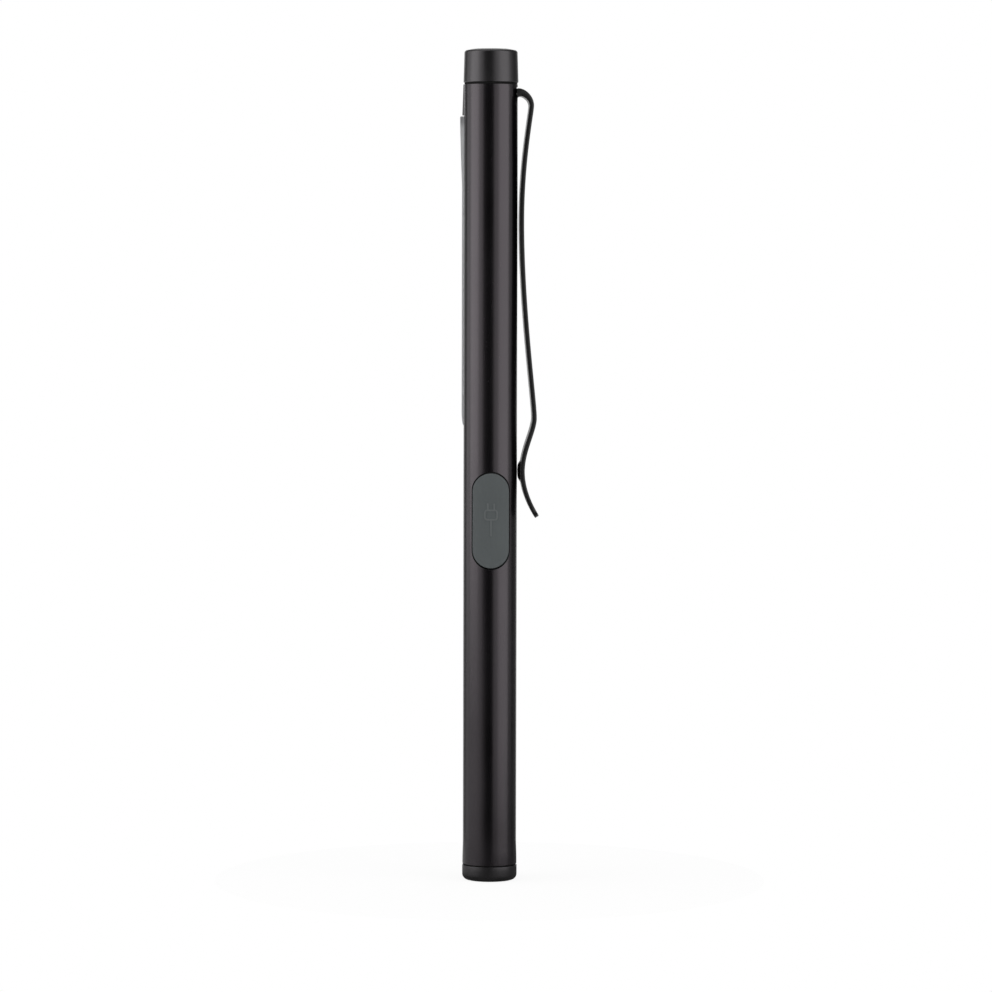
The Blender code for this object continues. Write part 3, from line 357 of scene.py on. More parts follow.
def eased(share):
    """A soft step from 0 to 1."""
    share = min(1.0, max(0.0, share))
    return share * share * (3.0 - 2.0 * share)


def lip_flare(z):
    """How far the tube's lower end flares out at a height."""
    return TUBE_LIP * eased((TUBE_LIP_TOP - z) / TUBE_LIP_TAPER)


def true_round(obj, radius_at, reach=0.004):
    """Gives the faces of a round wall about Z level normals, so that reflections run straight."""
    mesh = obj.data
    normals = []
    for polygon in mesh.polygons:
        for index in polygon.vertices:
            co = mesh.vertices[index].co
            outward = Vector((co.x, co.y, 0.0))
            on_it = abs(outward.length / MM - radius_at(co.z / MM)) < reach
            outward.normalize()
            kept = on_it and polygon.normal.dot(outward) > 0.5
            normals.append(outward if kept else Vector((0.0, 0.0, 0.0)))
    mesh.normals_split_custom_set(normals)


def unrolled(bm, turn, middle, radius):
    """Lays a cutter that faces +X flat on the unrolled tube, at its place round the tube."""
    for v in bm.verts:
        v.co.y = radius * (math.asin(max(-1.0, min(1.0, v.co.y / radius))) + turn - middle)
    return bm


def wall_turn(angle, knots):
    """Where an angle of the outer wall lies on the inner wall, so that hole sides run parallel."""
    for (a0, b0), (a1, b1) in zip(knots, knots[1:]):
        if a0 <= angle <= a1:
            return b0 + (b1 - b0) * (angle - a0) / (a1 - a0)
    return angle


tube_middle = TUBE_SEAM + math.pi
half_round = math.pi * TUBE_RADIUS
sheet = block((-TUBE_WALL, -half_round, TUBE_FOOT), (0.0, half_round, TUBE_TOP))
holes = [
    (block((-CUTTER, -SLOT_HALF, SLOT_FOOT), (CUTTER, SLOT_HALF, TUBE_TOP + CUTTER)), BAR_TURN),
    (bar(-CUTTER, CUTTER, *BUTTON_HOLE, BUTTON_Z, BUTTON_HOLE[0] * FULL_ROUND), BAR_TURN),
    (bar(-CUTTER, CUTTER, *PORT_HOLE, PORT_Z, PORT_HOLE[0] * FULL_ROUND, 40), PORT_TURN),
    (block((-CUTTER, -CLIP_SLOT[0] / 2, CLIP_ROOT_Z - CLIP_SLOT[1] / 2),
           (CUTTER, CLIP_SLOT[0] / 2, CLIP_ROOT_Z + CLIP_SLOT[1] / 2)), CLIP_TURN),
]
tube = carved(sheet, [unrolled(bm, turn, tube_middle, TUBE_RADIUS) for bm, turn in holes])
rims = [e for e in sharp_edges(tube)
        if not all(abs(abs(v.co.y) - half_round) < 0.01 for v in e.verts)]
soften(tube, rims, TUBE_EDGE)
seam_faces = [f for f in tube.faces if all(abs(abs(v.co.y) - half_round) < 0.001 for v in f.verts)]
bmesh.ops.delete(tube, geom=seam_faces, context="FACES_ONLY")
slice_across(tube, half_round, TUBE_SLICES)
slice_along(tube, 2, [TUBE_LIP_TOP - TUBE_LIP_TAPER * i / 6 for i in range(7)])
knots = [(TUBE_SEAM, TUBE_SEAM)]
for turn, half in ((BAR_TURN, SLOT_HALF), (PORT_TURN, PORT_HOLE[0] / 2),
                   (CLIP_TURN, CLIP_SLOT[0] / 2)):
    outer = math.asin(half / TUBE_RADIUS)
    inner = math.asin(half / (TUBE_RADIUS - TUBE_WALL))
    knots += [(turn - outer, turn - inner), (turn + outer, turn + inner)]
knots.append((TUBE_SEAM + math.tau, TUBE_SEAM + math.tau))
for v in tube.verts:
    depth = -v.co.x / TUBE_WALL
    angle = tube_middle + v.co.y / TUBE_RADIUS
    angle += (wall_turn(angle, knots) - angle) * depth
    radius = TUBE_RADIUS + v.co.x + lip_flare(v.co.z) * (1.0 - depth)
    v.co.x = radius * math.cos(angle)
    v.co.y = radius * math.sin(angle)


def grain_group():
    """Cloudy and grainy masks in a piece's own place, for moulded, blasted and coated skins."""
    group = bpy.data.node_groups.new("fine_grain", "ShaderNodeTree")
    for name, value in (("Cloud Scale", 60.0), ("Grain Scale", 5000.0)):
        socket = group.interface.new_socket(name, in_out="INPUT", socket_type="NodeSocketFloat")
        socket.default_value = value
    for name in ("Clouds", "Grain", "Marks"):
        group.interface.new_socket(name, in_out="OUTPUT", socket_type="NodeSocketFloat")
    given = group.nodes.new("NodeGroupInput")
    made = group.nodes.new("NodeGroupOutput")
    place = add(group, "TexCoord").outputs["Object"]
    cloud = add(group, "TexNoise", Vector=place, Scale=given.outputs["Cloud Scale"], Detail=4.0)
    grain = add(group, "TexNoise", Vector=place, Scale=given.outputs["Grain Scale"], Detail=2.0)
    stretch = add(group, "Mapping", Vector=place, Scale=(1.0, 1.0, 0.07))
    mark = add(group, "TexNoise", Vector=stretch.outputs["Vector"], Scale=2600.0, Detail=1.0)
    for name, source, span in (("Clouds", cloud, (0.32, 0.68)), ("Grain", grain, (0.25, 0.75)),
                               ("Marks", mark, (0.66, 0.8))):
        connect(group, made.inputs[name], ramp(group, source.outputs["Fac"], span))
    return group


fine_grain = grain_group()


def mixed_colour(tree, share, first, second):
    """The result of a colour Mix node."""
    node = tree.nodes.new("ShaderNodeMix")
    node.data_type = "RGBA"
    for socket, value in zip((0, 6, 7), (share, first, second)):
        connect(tree, node.inputs[socket], value)
    return node.outputs[2]


def skin(name, dark, light, roughness, clouds, grain, bump, **others):
    """A material that drifts between two colours and two roughnesses, with a fine raised grain."""
    mat = bpy.data.materials.new(name)
    mat.use_nodes = True
    tree = mat.node_tree
    masks = add(tree, "Group")
    masks.node_tree = fine_grain
    fed(tree, masks, Cloud_Scale=clouds, Grain_Scale=grain)
    clouded, grained, marked = (
        calculate(tree, "MULTIPLY", masks.outputs[name], part)
        for name, part in (("Clouds", CLOUD_SHARE), ("Grain", GRAIN_SHARE), ("Marks", MARK_WEAR)))
    share = calculate(tree, "ADD", clouded, grained)
    worn = calculate(tree, "ADD", share, marked)
    relief = add(tree, "Bump", Height=masks.outputs["Grain"], Strength=bump[0],
                 Distance=bump[1] * MM)
    fed(tree, tree.nodes["Principled BSDF"], Roughness=ramp(tree, worn, levels=roughness),
        Base_Color=mixed_colour(tree, share, (*dark, 1.0), (*light, 1.0)),
        Normal=relief.outputs["Normal"], **others)
    return mat


black_anodised = skin("blasted_black_anodising", (0.0010, 0.0009, 0.0012), (0.0022, 0.0020, 0.0025),
                      (0.2, 0.29), 45.0, 6500.0, (0.2, 0.008), IOR=1.63,
                      Specular_Tint=(1.0, 0.9, 0.97, 1.0))
tube_obj = finished("body_tube_skin", tube, black_anodised, "body_tube")
true_round(tube_obj, lambda z: TUBE_RADIUS + lip_flare(z))


# Tail cap. Moulded in black plastic with a rounded corner, pressed into the tube by its spigot.
# The magnet sits behind its floor.
TAIL_PROFILE = [
    (0.0, 0.8, 0.0), (3.875, 0.8, 0.0), (3.875, 5.9, 0.1), (4.725, 5.9, 0.15), (4.725, 3.3, 0.0),
    (5.95, 3.3, 0.12), (5.95, 0.0, 1.2), (0.0, 0.0, 0.0)]
LATHE_STEPS = 192


def rounded_profile(points, segments=8):
    """(radius, height) points with the corners of those that carry a radius rounded off."""
    flat = [Vector((r, z, 0.0)) for r, z, _ in points]
    outline = []
    for i, (_, _, corner) in enumerate(points):
        here = flat[i]
        if corner == 0.0:
            outline.append(here)
            continue
        back = (flat[i - 1] - here).normalized()
        ahead = (flat[(i + 1) % len(flat)] - here).normalized()
        half = back.angle(ahead) / 2
        centre = here + (back + ahead).normalized() * corner / math.sin(half)
        start = (here + back * corner / math.tan(half) - centre).normalized()
        end = (here + ahead * corner / math.tan(half) - centre).normalized()
        outline += [centre + start.slerp(end, k / segments) * corner for k in range(segments + 1)]
    return outline


def turned(profile, closed=False, steps=LATHE_STEPS, segments=8):
    """Spins a rounded profile round Z."""
    bm = bmesh.new()
    outline = rounded_profile(profile, segments)
    verts = [bm.verts.new((p.x, 0.0, p.y)) for p in outline]
    edges = [bm.edges.new(pair) for pair in zip(verts, verts[1:])]
    if closed:
        edges.append(bm.edges.new((verts[-1], verts[0])))
    bmesh.ops.spin(bm, geom=[*verts, *edges], cent=(0.0, 0.0, 0.0), axis=(0.0, 0.0, 1.0),
                   angle=math.tau, steps=steps, use_merge=True, use_duplicate=False)
    bmesh.ops.remove_doubles(bm, verts=bm.verts, dist=0.0005)
    bmesh.ops.recalc_face_normals(bm, faces=bm.faces)
    return bm


cap_plastic = skin("moulded_black_plastic", (0.0035, 0.0035, 0.0037), (0.0065, 0.0065, 0.0068),
                   (0.26, 0.35), 70.0, 4200.0, (0.25, 0.01), IOR=1.63,
                   Specular_Tint=(1.0, 0.95, 0.99, 1.0))
finished("tail_cap_skin", turned(TAIL_PROFILE), cap_plastic, "tail_cap")


# Seals. Two thin rings of dark rubber, squeezed between the tube's ends and the caps. They show as
# the dark seams under the head and above the tail.
SEALS = {"tail": (3.35, 3.55, 0.06), "head": (173.25, 173.55, 0.08)}
SEAL_RADII = (5.75, 4.825)

seal_rubber = skin("seal_rubber", (0.0012, 0.0012, 0.0012), (0.003, 0.003, 0.003), (0.65, 0.8),
                   90.0, 3800.0, (0.3, 0.01), Specular_IOR_Level=0.25)
for end, (low, high, corner) in SEALS.items():
    ring = [(SEAL_RADII[0], low, corner), (SEAL_RADII[0], high, corner),
            (SEAL_RADII[1], high, corner), (SEAL_RADII[1], low, corner)]
    finished(f"{end}_seal_ring", turned(ring, closed=True), seal_rubber, f"{end}_seal")


# Head cap. Moulded in the same black plastic with a slight draft, pressed into the tube over the
# clip's hook. A rounded lip runs round the spot light's window.
HEAD_PROFILE = [
    (3.575, 180.9, 0.25), (5.75, 180.49, 0.6), (5.95, 173.6, 0.12), (4.725, 173.6, 0.0),
    (4.725, 168.6, 0.15), (3.975, 168.6, 0.1), (3.975, 179.1, 0.0), (3.575, 179.1, 0.0)]
HOOK_NOTCH = ((2.5, -1.8, 168.3), (5.025, 1.8, 172.6))

head = carved(turned(HEAD_PROFILE, closed=True), [block(*HOOK_NOTCH)])
finished("head_cap_skin", head, cap_plastic, "head_cap")


# Spot light. A clear lens, dropped in from below, over a bright moulded cone whose floor is open
# for the LED on its small round board. A ring pressed in under the board holds the stack.
SPOT_LENS = [
    (0.0, 180.6, 0.0), (3.275, 180.42, 0.12), (3.275, 178.8, 0.0), (3.675, 178.8, 0.08),
    (3.675, 177.6, 0.08), (0.0, 177.6, 0.0)]
SPOT_CONE = [(3.675, 177.3, 0.0), (3.675, 174.9, 0.1), (2.475, 174.9, 0.1), (2.82, 175.9, 1.2),
             (3.275, 177.3, 0.0)]
SPOT_LED = (1.547, 0.9, 174.65)
LED_CORNER = 0.08
LED_RIM = 0.22
LED_WINDOW_SLOPE = 0.06
LED_WINDOW_DEPTH = 0.15

clear = bpy.data.materials.new("clear_moulding")
clear.use_nodes = True
glass = clear.node_tree
haze = add(glass, "TexNoise", Scale=1400.0, Detail=3.0,
           Vector=add(glass, "TexCoord").outputs["Object"])
fed(glass, glass.nodes["Principled BSDF"], Base_Color=(0.93, 0.95, 0.95, 1.0), IOR=1.49,
    Transmission_Weight=1.0, Roughness=ramp(glass, haze.outputs["Fac"], levels=(0.02, 0.12)))
finished("spot_lens_disc", turned(SPOT_LENS), clear, "spot_lens")

mirror = skin("plated_reflector", (0.72, 0.72, 0.72), (0.86, 0.86, 0.85), (0.08, 0.2), 300.0,
              2200.0, (0.2, 0.02), Metallic=1.0)
finished("spot_reflector_cone", turned(SPOT_CONE, closed=True), mirror, "spot_reflector")

led_case = skin("led_case", (0.7, 0.7, 0.68), (0.82, 0.82, 0.8), (0.3, 0.45), 600.0, 3000.0,
                (0.2, 0.008))
phosphor = skin("led_phosphor", (0.78, 0.55, 0.05), (0.9, 0.72, 0.14), (0.3, 0.5), 900.0, 5000.0,
                (0.5, 0.02))


def led_package(half, height, floor):
    """A white package with a sunk square window of yellow phosphor, standing on z = floor."""
    bm = block((-half, -half, floor), (half, half, floor + height))
    soften(bm, [e for e in bm.edges if e.calc_length() < height * 1.01], half * LED_CORNER, 2)
    bm.normal_update()
    top = max(bm.faces, key=lambda f: f.calc_center_median().z)
    bmesh.ops.inset_region(bm, faces=[top], thickness=half * LED_RIM)
    bmesh.ops.inset_region(bm, faces=[top], thickness=half * LED_WINDOW_SLOPE,
                           depth=-height * LED_WINDOW_DEPTH)
    top.material_index = 1
    return bm


finished("spot_led_package", led_package(*SPOT_LED), [led_case, phosphor], "spot_led")


# Light bar window. One frosted moulding, raised above the tube, thicker towards the head and
# running out to the tube at its lower end. It drops into the slot from inside by its flange.
# Its upper end, under the black end insert, is darkened towards grey with painted shade.
LENS_FOOT = 99.3
LENS_TOP = 166.3
LENS_HALF = 2.85
LENS_RISE = 0.45
LENS_HEEL = 0.9
LENS_HEEL_LENGTH = 15.0
LENS_TOE = 3.2
LENS_FLOOR = 3.075
LENS_EDGE = 0.22
LENS_TROUGH = ((2.0, -2.2, 100.8), (4.825, 2.2, 164.8))
LENS_FLANGE = ((3.175, -3.4, 99.5), (4.725, 3.4, 166.1))
LENS_FLANGE_FLAT = 4.0
LENS_BEND_FROM = 4.83
LENS_SLICES = 18
# Painted shade on the window's upper end: the heights it fades in over, its grey and its share.
WINDOW_SHADE_SPAN = (163.6, 165.2)
WINDOW_SHADE_GREY = (0.16, 0.16, 0.17, 1.0)
WINDOW_SHADE_SHARE = 0.7


def lens_rise(z):
    """How far the window stands above the tube at a height."""
    if z < LENS_FOOT + LENS_TOE:
        part = max(0.0, (z - LENS_FOOT) / LENS_TOE)
        return LENS_RISE * math.sqrt(max(0.0, 1.0 - (1.0 - part) ** 2))
    part = min(1.0, max(0.0, (z - (LENS_TOP - LENS_HEEL_LENGTH)) / LENS_HEEL_LENGTH))
    return LENS_RISE + (LENS_HEEL - LENS_RISE) * (1.0 - (1.0 - part) ** 1.5)


def wrapped(bm, rise, floor, places=()):
    """Slices a block that faces +X and bends it onto the raised skin, from its floor upwards."""
    slice_across(bm, LENS_HALF, LENS_SLICES)
    slice_along(bm, 2, places)
    for v in bm.verts:
        if v.co.x > floor:
            top = math.sqrt((TUBE_RADIUS + rise(v.co.z)) ** 2 - v.co.y ** 2)
            v.co.x = floor + (v.co.x - floor) * (top - floor) / (TUBE_RADIUS - floor)


def bowed(bm, half, steps, least=0.0):
    """Slices a block that faces +X and bends what lies beyond a plane onto cylinders round Z."""
    slice_across(bm, half, steps)
    for v in bm.verts:
        if v.co.x > least:
            v.co.x = math.sqrt(v.co.x ** 2 - v.co.y ** 2)
    return bm


def rotated(bm, angle, axis):
    """Turns a piece about an axis through the origin."""
    bmesh.ops.rotate(bm, cent=(0.0, 0.0, 0.0), matrix=Matrix.Rotation(angle, 3, axis),
                     verts=bm.verts)
    return bm


def facing(bm, turn):
    """Turns a piece that faces +X to its place round the tube."""
    return rotated(bm, turn, "Z")


def soften_rim(bm, offset, segments=4, beyond=5.7):
    """Rounds the sharp edges that lie beyond a distance along X."""
    soften(bm, [e for e in sharp_edges(bm) if all(v.co.x > beyond for v in e.verts)], offset,
           segments)


lens = block((LENS_FLOOR, -LENS_HALF, LENS_FOOT), (TUBE_RADIUS, LENS_HALF, LENS_TOP))
lens_flange = bowed(block(*LENS_FLANGE), LENS_FLANGE[1][1], 20, LENS_FLANGE_FLAT)
lens = carved(carved(lens, [lens_flange], "UNION"), [block(*LENS_TROUGH)])
soften_rim(lens, LENS_EDGE)
lens_slices = [LENS_FOOT + LENS_TOE * (1.0 - math.cos(math.pi / 2 * i / 12)) for i in range(1, 13)]
lens_slices += [LENS_TOP - LENS_HEEL_LENGTH * i / 16 for i in range(1, 17)]
wrapped(lens, lens_rise, LENS_BEND_FROM, lens_slices)
frosted = skin("frosted_window", (0.7, 0.71, 0.72), (0.8, 0.81, 0.82), (0.34, 0.42), 120.0,
               4500.0, (0.25, 0.01), Transmission_Weight=0.7, IOR=1.49)
window = frosted.node_tree
window_colour = window.nodes["Principled BSDF"].inputs["Base Color"]
window_place = add(window, "SeparateXYZ", Vector=add(window, "TexCoord").outputs["Object"])
# Painted shade: the window's colour turns towards dark grey over its upper end, by height.
painted_top_shade = ramp(window, window_place.outputs["Z"], [z * MM for z in WINDOW_SHADE_SPAN],
                 (0.0, WINDOW_SHADE_SHARE))
connect(window, window_colour, mixed_colour(window, painted_top_shade, window_colour.links[0].from_socket,
                                            WINDOW_SHADE_GREY))
finished("strip_lens_window", facing(lens, BAR_TURN), frosted, "strip_lens")


# Lower insert of the light bar. Moulded in black plastic, it fills the slot between the window and
# the head, and its foot holds the window down inside the tube.
END_FOOT = 166.5
END_RISE_LOW = 0.4
END_RISE_TOP = 0.17
END_ROOF_FLOOR = 5.025
END_FOOT_RISE = 1.7
END_FOOT_REACH = 5.2
END_EDGE = 0.15

end_piece = carved(
    block((END_ROOF_FLOOR, -LENS_HALF, END_FOOT), (TUBE_RADIUS, LENS_HALF, TUBE_TOP)),
    [block((LENS_FLOOR, -LENS_HALF, END_FOOT),
           (END_FOOT_REACH, LENS_HALF, END_FOOT + END_FOOT_RISE))], "UNION")
soften_rim(end_piece, END_EDGE)
wrapped(end_piece, lambda z: END_RISE_LOW + (END_RISE_TOP - END_RISE_LOW)
        * (z - END_FOOT) / (TUBE_TOP - END_FOOT), END_ROOF_FLOOR)
finished("strip_end_insert", facing(end_piece, BAR_TURN), cap_plastic, "strip_end_piece")


# LEDs of the light bar. Eight white packages with yellow phosphor, soldered in a row on the
# narrow white board behind the window.
LED_HALF = 1.4
LED_HEIGHT = 0.8
LED_FLOOR = 2.825
LED_FIRST = 104.3
LED_LAST = 161.3
LED_COUNT = 8


def towards_x(bm, height):
    """Lays a turned piece over, so that it stands out along X at a height."""
    return moved(rotated(bm, math.pi / 2, "Y"), 0.0, 0.0, height)


led_heights = [LED_FIRST + (LED_LAST - LED_FIRST) * i / (LED_COUNT - 1) for i in range(LED_COUNT)]
for i, led_z in enumerate(led_heights, 1):
    led = towards_x(led_package(LED_HALF, LED_HEIGHT, LED_FLOOR), led_z)
    finished(f"strip_led_package_{i}", facing(led, BAR_TURN), [led_case, phosphor],
             f"strip_led_{i}")


# Push button. Soft black rubber, flush with the tube, with a raised ring to find it by touch. Its
# flange holds it in from inside, and its post presses the switch on the light bar's board.
BUTTON_SIZE = (5.0, 8.0)
BUTTON_FLOOR = 4.275
BUTTON_EDGE = 0.2
BUTTON_FLANGE = ((4.375, -2.4, 86.9), (4.725, 2.4, 96.7))
BUTTON_POST = [(0.0, 3.875, 0.0), (1.1, 3.875, 0.15), (1.1, 4.6, 0.0), (0.0, 4.6, 0.0)]
BUTTON_RING = [(1.75, 5.6, 0.0), (1.75, 5.915, 0.08), (1.45, 5.915, 0.08), (1.45, 5.6, 0.0)]
BUTTON_RING_REACH = 1.8

button = bar(BUTTON_FLOOR, TUBE_RADIUS, *BUTTON_SIZE, BUTTON_Z, BUTTON_SIZE[0] * FULL_ROUND)
soften_rim(button, BUTTON_EDGE)
bowed(button, BUTTON_SIZE[0] / 2, 20)
ring = bowed(towards_x(turned(BUTTON_RING, True, 48, 4), BUTTON_Z), BUTTON_RING_REACH, 12)
button = carved(button, [bowed(block(*BUTTON_FLANGE), BUTTON_FLANGE[1][1], 16),
                         towards_x(turned(BUTTON_POST, False, 48, 4), BUTTON_Z), ring], "UNION")
button_rubber = skin("button_rubber", (0.006, 0.006, 0.006), (0.012, 0.012, 0.012), (0.55, 0.7),
                     140.0, 3600.0, (0.35, 0.014))
finished("push_button_pad", facing(button, BAR_TURN), button_rubber, "push_button",
         "button")


# Cover of the charging socket. Matt grey rubber, flush with the tube and round at both ends. A
# plug behind it grips the socket, and a low plug sign shows where the lead goes.
COVER_SIZE = (7.9, 20.6)
COVER_EDGE = 0.16
COVER_FLOOR = 5.025
COVER_PLUG = (3.6, 5.425, 1.6, 6.2, PORT_Z, 0.35, 6)
SIGN_RISE = 0.08
SIGN_FLOOR = 5.6
SIGN_HALF = 1.5
SIGN_Z = PORT_Z + 1.3
SIGN_FRAME = (3.0, 2.4, SIGN_Z, 0.7, 8)
SIGN_OPENING = (SIGN_FLOOR, 6.2, 2.3, 1.7, SIGN_Z, 0.4, 8)
SIGN_PRONG = (0.4, 1.5, SIGN_Z + 1.75, 0.12, 4)
SIGN_PRONG_SIDE = 0.7
SIGN_CORD = (0.35, 3.6, SIGN_Z - 2.8, 0.15, 4)

cover = bar(COVER_FLOOR, TUBE_RADIUS, *COVER_SIZE, PORT_Z, COVER_SIZE[0] * FULL_ROUND, 40)
soften_rim(cover, COVER_EDGE)
cover = carved(bowed(cover, COVER_SIZE[0] / 2, 28), [bar(*COVER_PLUG)], "UNION")
sign = [bar(SIGN_FLOOR, TUBE_RADIUS + SIGN_RISE, *sizes)
        for sizes in (SIGN_FRAME, SIGN_PRONG, SIGN_PRONG, SIGN_CORD)]
sign[0] = carved(sign[0], [bar(*SIGN_OPENING)])
for prong, side in zip(sign[1:3], (-SIGN_PRONG_SIDE, SIGN_PRONG_SIDE)):
    moved(prong, 0.0, side, 0.0)
cover = carved(cover, [bowed(piece, SIGN_HALF, 14) for piece in sign], "UNION")
grey_rubber = skin("matt_grey_rubber", (0.083, 0.092, 0.094), (0.094, 0.104, 0.106), (0.82, 0.95),
                   160.0, 4200.0, (0.4, 0.016), Specular_IOR_Level=0.3)
sign_rubber = skin("raised_grey_rubber", (0.104, 0.114, 0.116), (0.118, 0.128, 0.13), (0.65, 0.8),
                   160.0, 4200.0, (0.4, 0.016), Specular_IOR_Level=0.3)
for f in cover.faces:
    f.material_index = int(all(math.hypot(v.co.x, v.co.y) > TUBE_RADIUS + SIGN_RISE / 2
                               for v in f.verts))
cover_obj = finished("usb_cover_skin", facing(cover, PORT_TURN), [grey_rubber, sign_rubber],
                     "usb_cover", "cover")
true_round(cover_obj, lambda z: TUBE_RADIUS)


# Pocket clip. One strip of spring steel, blanked, bent and coated black. A tang at its root hooks
# into the tube, and the strip arches, bellies, rests on a pressed dimple and lifts at its tip.
CLIP_HALF = 3.25
CLIP_THICK = 1.0
CLIP_TANG_HALF = 1.5
CLIP_EDGE = 0.18
CLIP_TIP_ROUND = 2.5
HOOK_X = 4.025
CLIP_STATIONS = [
    ((HOOK_X, -2.7), (0.0, 1.0), 0.45, 0.45),
    ((HOOK_X, -0.9), (0.0, 1.0), 0.45, 0.495),
    ((HOOK_X + 0.9, 0.0), (1.0, 0.0), 0.495, 0.225),
    ((5.825, 0.0), (1.0, 0.0), 0.225, 1.45),
    ((8.725, -3.2), (0.0, -1.0), 1.6, 1.6),
    ((6.645, -28.0), (0.0, -1.0), 13.392, 18.832),
    ((9.495, -70.8), (0.0, -1.0), 3.852, 2.784),
    ((6.905, -82.4), (0.0, -1.0), 4.524, 3.5),
    ((10.205, -92.4), (0.54, -0.84), 3.5, 1.0),
]
SHOULDER_X = 5.87
SHOULDER_BOW = 0.04
SHOULDER_REACH = 2.5
CLIP_GUSSET = 0.95
CLIP_GUSSET_REACH = 5.0
DIMPLE_DROP = 82.4
DIMPLE_TOP = 1.2
DIMPLE_FOOT = 2.7
DIMPLE_DEPTH = 0.5
DIMPLE_REACH = 3.0
DIMPLE_SLICE = 0.2
CLIP_SLICE = 0.5
CLIP_FINE_REACH = 12.0


def clip_route():
    """Points down the middle of the strip, from the hook's end to the tip."""
    route = []
    for (start, leave, _, reach), (end, arrive, room, _) in zip(CLIP_STATIONS, CLIP_STATIONS[1:]):
        p0 = Vector((*start, 0.0))
        p3 = Vector((*end, 0.0))
        p1 = p0 + Vector((*leave, 0.0)).normalized() * reach
        p2 = p3 - Vector((*arrive, 0.0)).normalized() * room
        route += interpolate_bezier(p0, p1, p2, p3, 48)[:-1]
    return [*route, Vector((*CLIP_STATIONS[-1][0], 0.0))]


route = clip_route()
reached = [0.0]
for before, after in zip(route, route[1:]):
    reached.append(reached[-1] + (after - before).length)
clip_length = reached[-1]
shoulder = next(s for s, p in zip(reached, route) if p.x > SHOULDER_X)
neck = next(s for s, p in zip(reached, route) if p.y < -DIMPLE_DROP)


def on_route(s):
    """The route's point and its side that faces away from the tube, at a length along it."""
    i = 0
    while i < len(reached) - 2 and reached[i + 1] < s:
        i += 1
    share = (s - reached[i]) / (reached[i + 1] - reached[i])
    here = route[i].lerp(route[i + 1], share)
    before = (route[i + 1] - route[max(0, i - 1)]).normalized()
    after = (route[min(len(route) - 1, i + 2)] - route[i]).normalized()
    along = before.lerp(after, share).normalized()
    return here, Vector((-along.y, along.x, 0.0))


strip = block((-CLIP_THICK / 2, -CLIP_HALF, shoulder), (CLIP_THICK / 2, CLIP_HALF, clip_length))
tip_corners = [e for e in strip.edges if all(v.co.z > clip_length - 0.1 for v in e.verts)
               and abs(e.verts[0].co.x - e.verts[1].co.x) > 0.5]
bmesh.ops.bevel(strip, geom=tip_corners, offset=CLIP_TIP_ROUND, segments=14, profile=0.5,
                affect="EDGES", material=-1)
slice_along(strip, 1, [-CLIP_TANG_HALF, CLIP_TANG_HALF])
root_face = min((f for f in strip.faces if abs(f.calc_center_median().y) < 0.1),
                key=lambda f: f.calc_center_median().z)
tang = bmesh.ops.extrude_face_region(strip, geom=[root_face])
tang_verts = [g for g in tang["geom"] if isinstance(g, bmesh.types.BMVert)]
bmesh.ops.translate(strip, vec=(0.0, 0.0, -shoulder), verts=tang_verts)
bmesh.ops.delete(strip, geom=[root_face], context="FACES_ONLY")
soften(strip, sharp_edges(strip), CLIP_EDGE, 3)
fine = [CLIP_SLICE / 2 * i for i in range(1, int(2 * CLIP_FINE_REACH / CLIP_SLICE))]
coarse = [CLIP_FINE_REACH + CLIP_SLICE * i
          for i in range(int((clip_length - CLIP_FINE_REACH) / CLIP_SLICE) + 1)]
near_dimple = [neck - DIMPLE_REACH + DIMPLE_SLICE * i for i in range(31)]
slice_along(strip, 2, fine + coarse + near_dimple)
slice_along(strip, 1, [DIMPLE_SLICE * i for i in range(-14, 15)])
for v in strip.verts:
    away = math.hypot(v.co.y, v.co.z - neck)
    height = v.co.x + DIMPLE_DEPTH * eased((DIMPLE_FOOT - away) / (DIMPLE_FOOT - DIMPLE_TOP))
    near_root = 1.0 - (v.co.z - shoulder) / CLIP_GUSSET_REACH
    if v.co.x > 0.0 and v.co.z > shoulder - 0.01 and near_root > 0.0:
        height += CLIP_GUSSET * near_root * near_root
    bow = max(0.0, 1.0 - (v.co.z - shoulder) / SHOULDER_REACH) if v.co.z > shoulder - 0.01 else 0.0
    here, side = on_route(v.co.z - SHOULDER_BOW * v.co.y ** 2 * bow)
    v.co = (here.x - side.x * height, v.co.y, CLIP_ROOT_Z + here.y - side.y * height)
clip_coat = skin("black_coated_steel", (0.003, 0.003, 0.003), (0.006, 0.006, 0.006), (0.26, 0.38),
                 90.0, 5200.0, (0.2, 0.01), IOR=1.6)
finished("pocket_clip_strip", strip, clip_coat, "pocket_clip", "clip")


# Spot light's board and ring. A round white board with two pads, and a moulded ring with two
# spanner slots that is pressed into the head cap under it.
SPOT_BOARD = [(0.0, 174.6, 0.0), (3.675, 174.6, 0.06), (3.675, 173.8, 0.06), (0.0, 173.8, 0.0)]
RETAINER = [(3.675, 172.5, 0.15), (3.675, 173.5, 0.15), (2.675, 173.5, 0.1), (2.675, 172.5, 0.1)]
SPANNER_SLOT = ((-4.0, -0.5, 172.0), (4.0, 0.5, 172.95))
PAD_RISE = 0.03
SPOT_PAD = ((-0.5, -0.8, -0.05), (0.5, 0.8, PAD_RISE))
SPOT_PAD_SIDES = (-2.5, 2.5)

white_mask = skin("white_solder_mask", (0.62, 0.62, 0.59), (0.76, 0.76, 0.73), (0.35, 0.5), 500.0,
                  2500.0, (0.2, 0.01))
carrier_plastic = skin("core_moulding", (0.012, 0.012, 0.013), (0.024, 0.024, 0.025), (0.48, 0.62),
                       110.0, 3400.0, (0.4, 0.016))
nickel_plate = skin("nickel_plate", (0.46, 0.44, 0.4), (0.62, 0.6, 0.55), (0.2, 0.42), 260.0,
                    3600.0, (0.3, 0.012), Metallic=1.0)


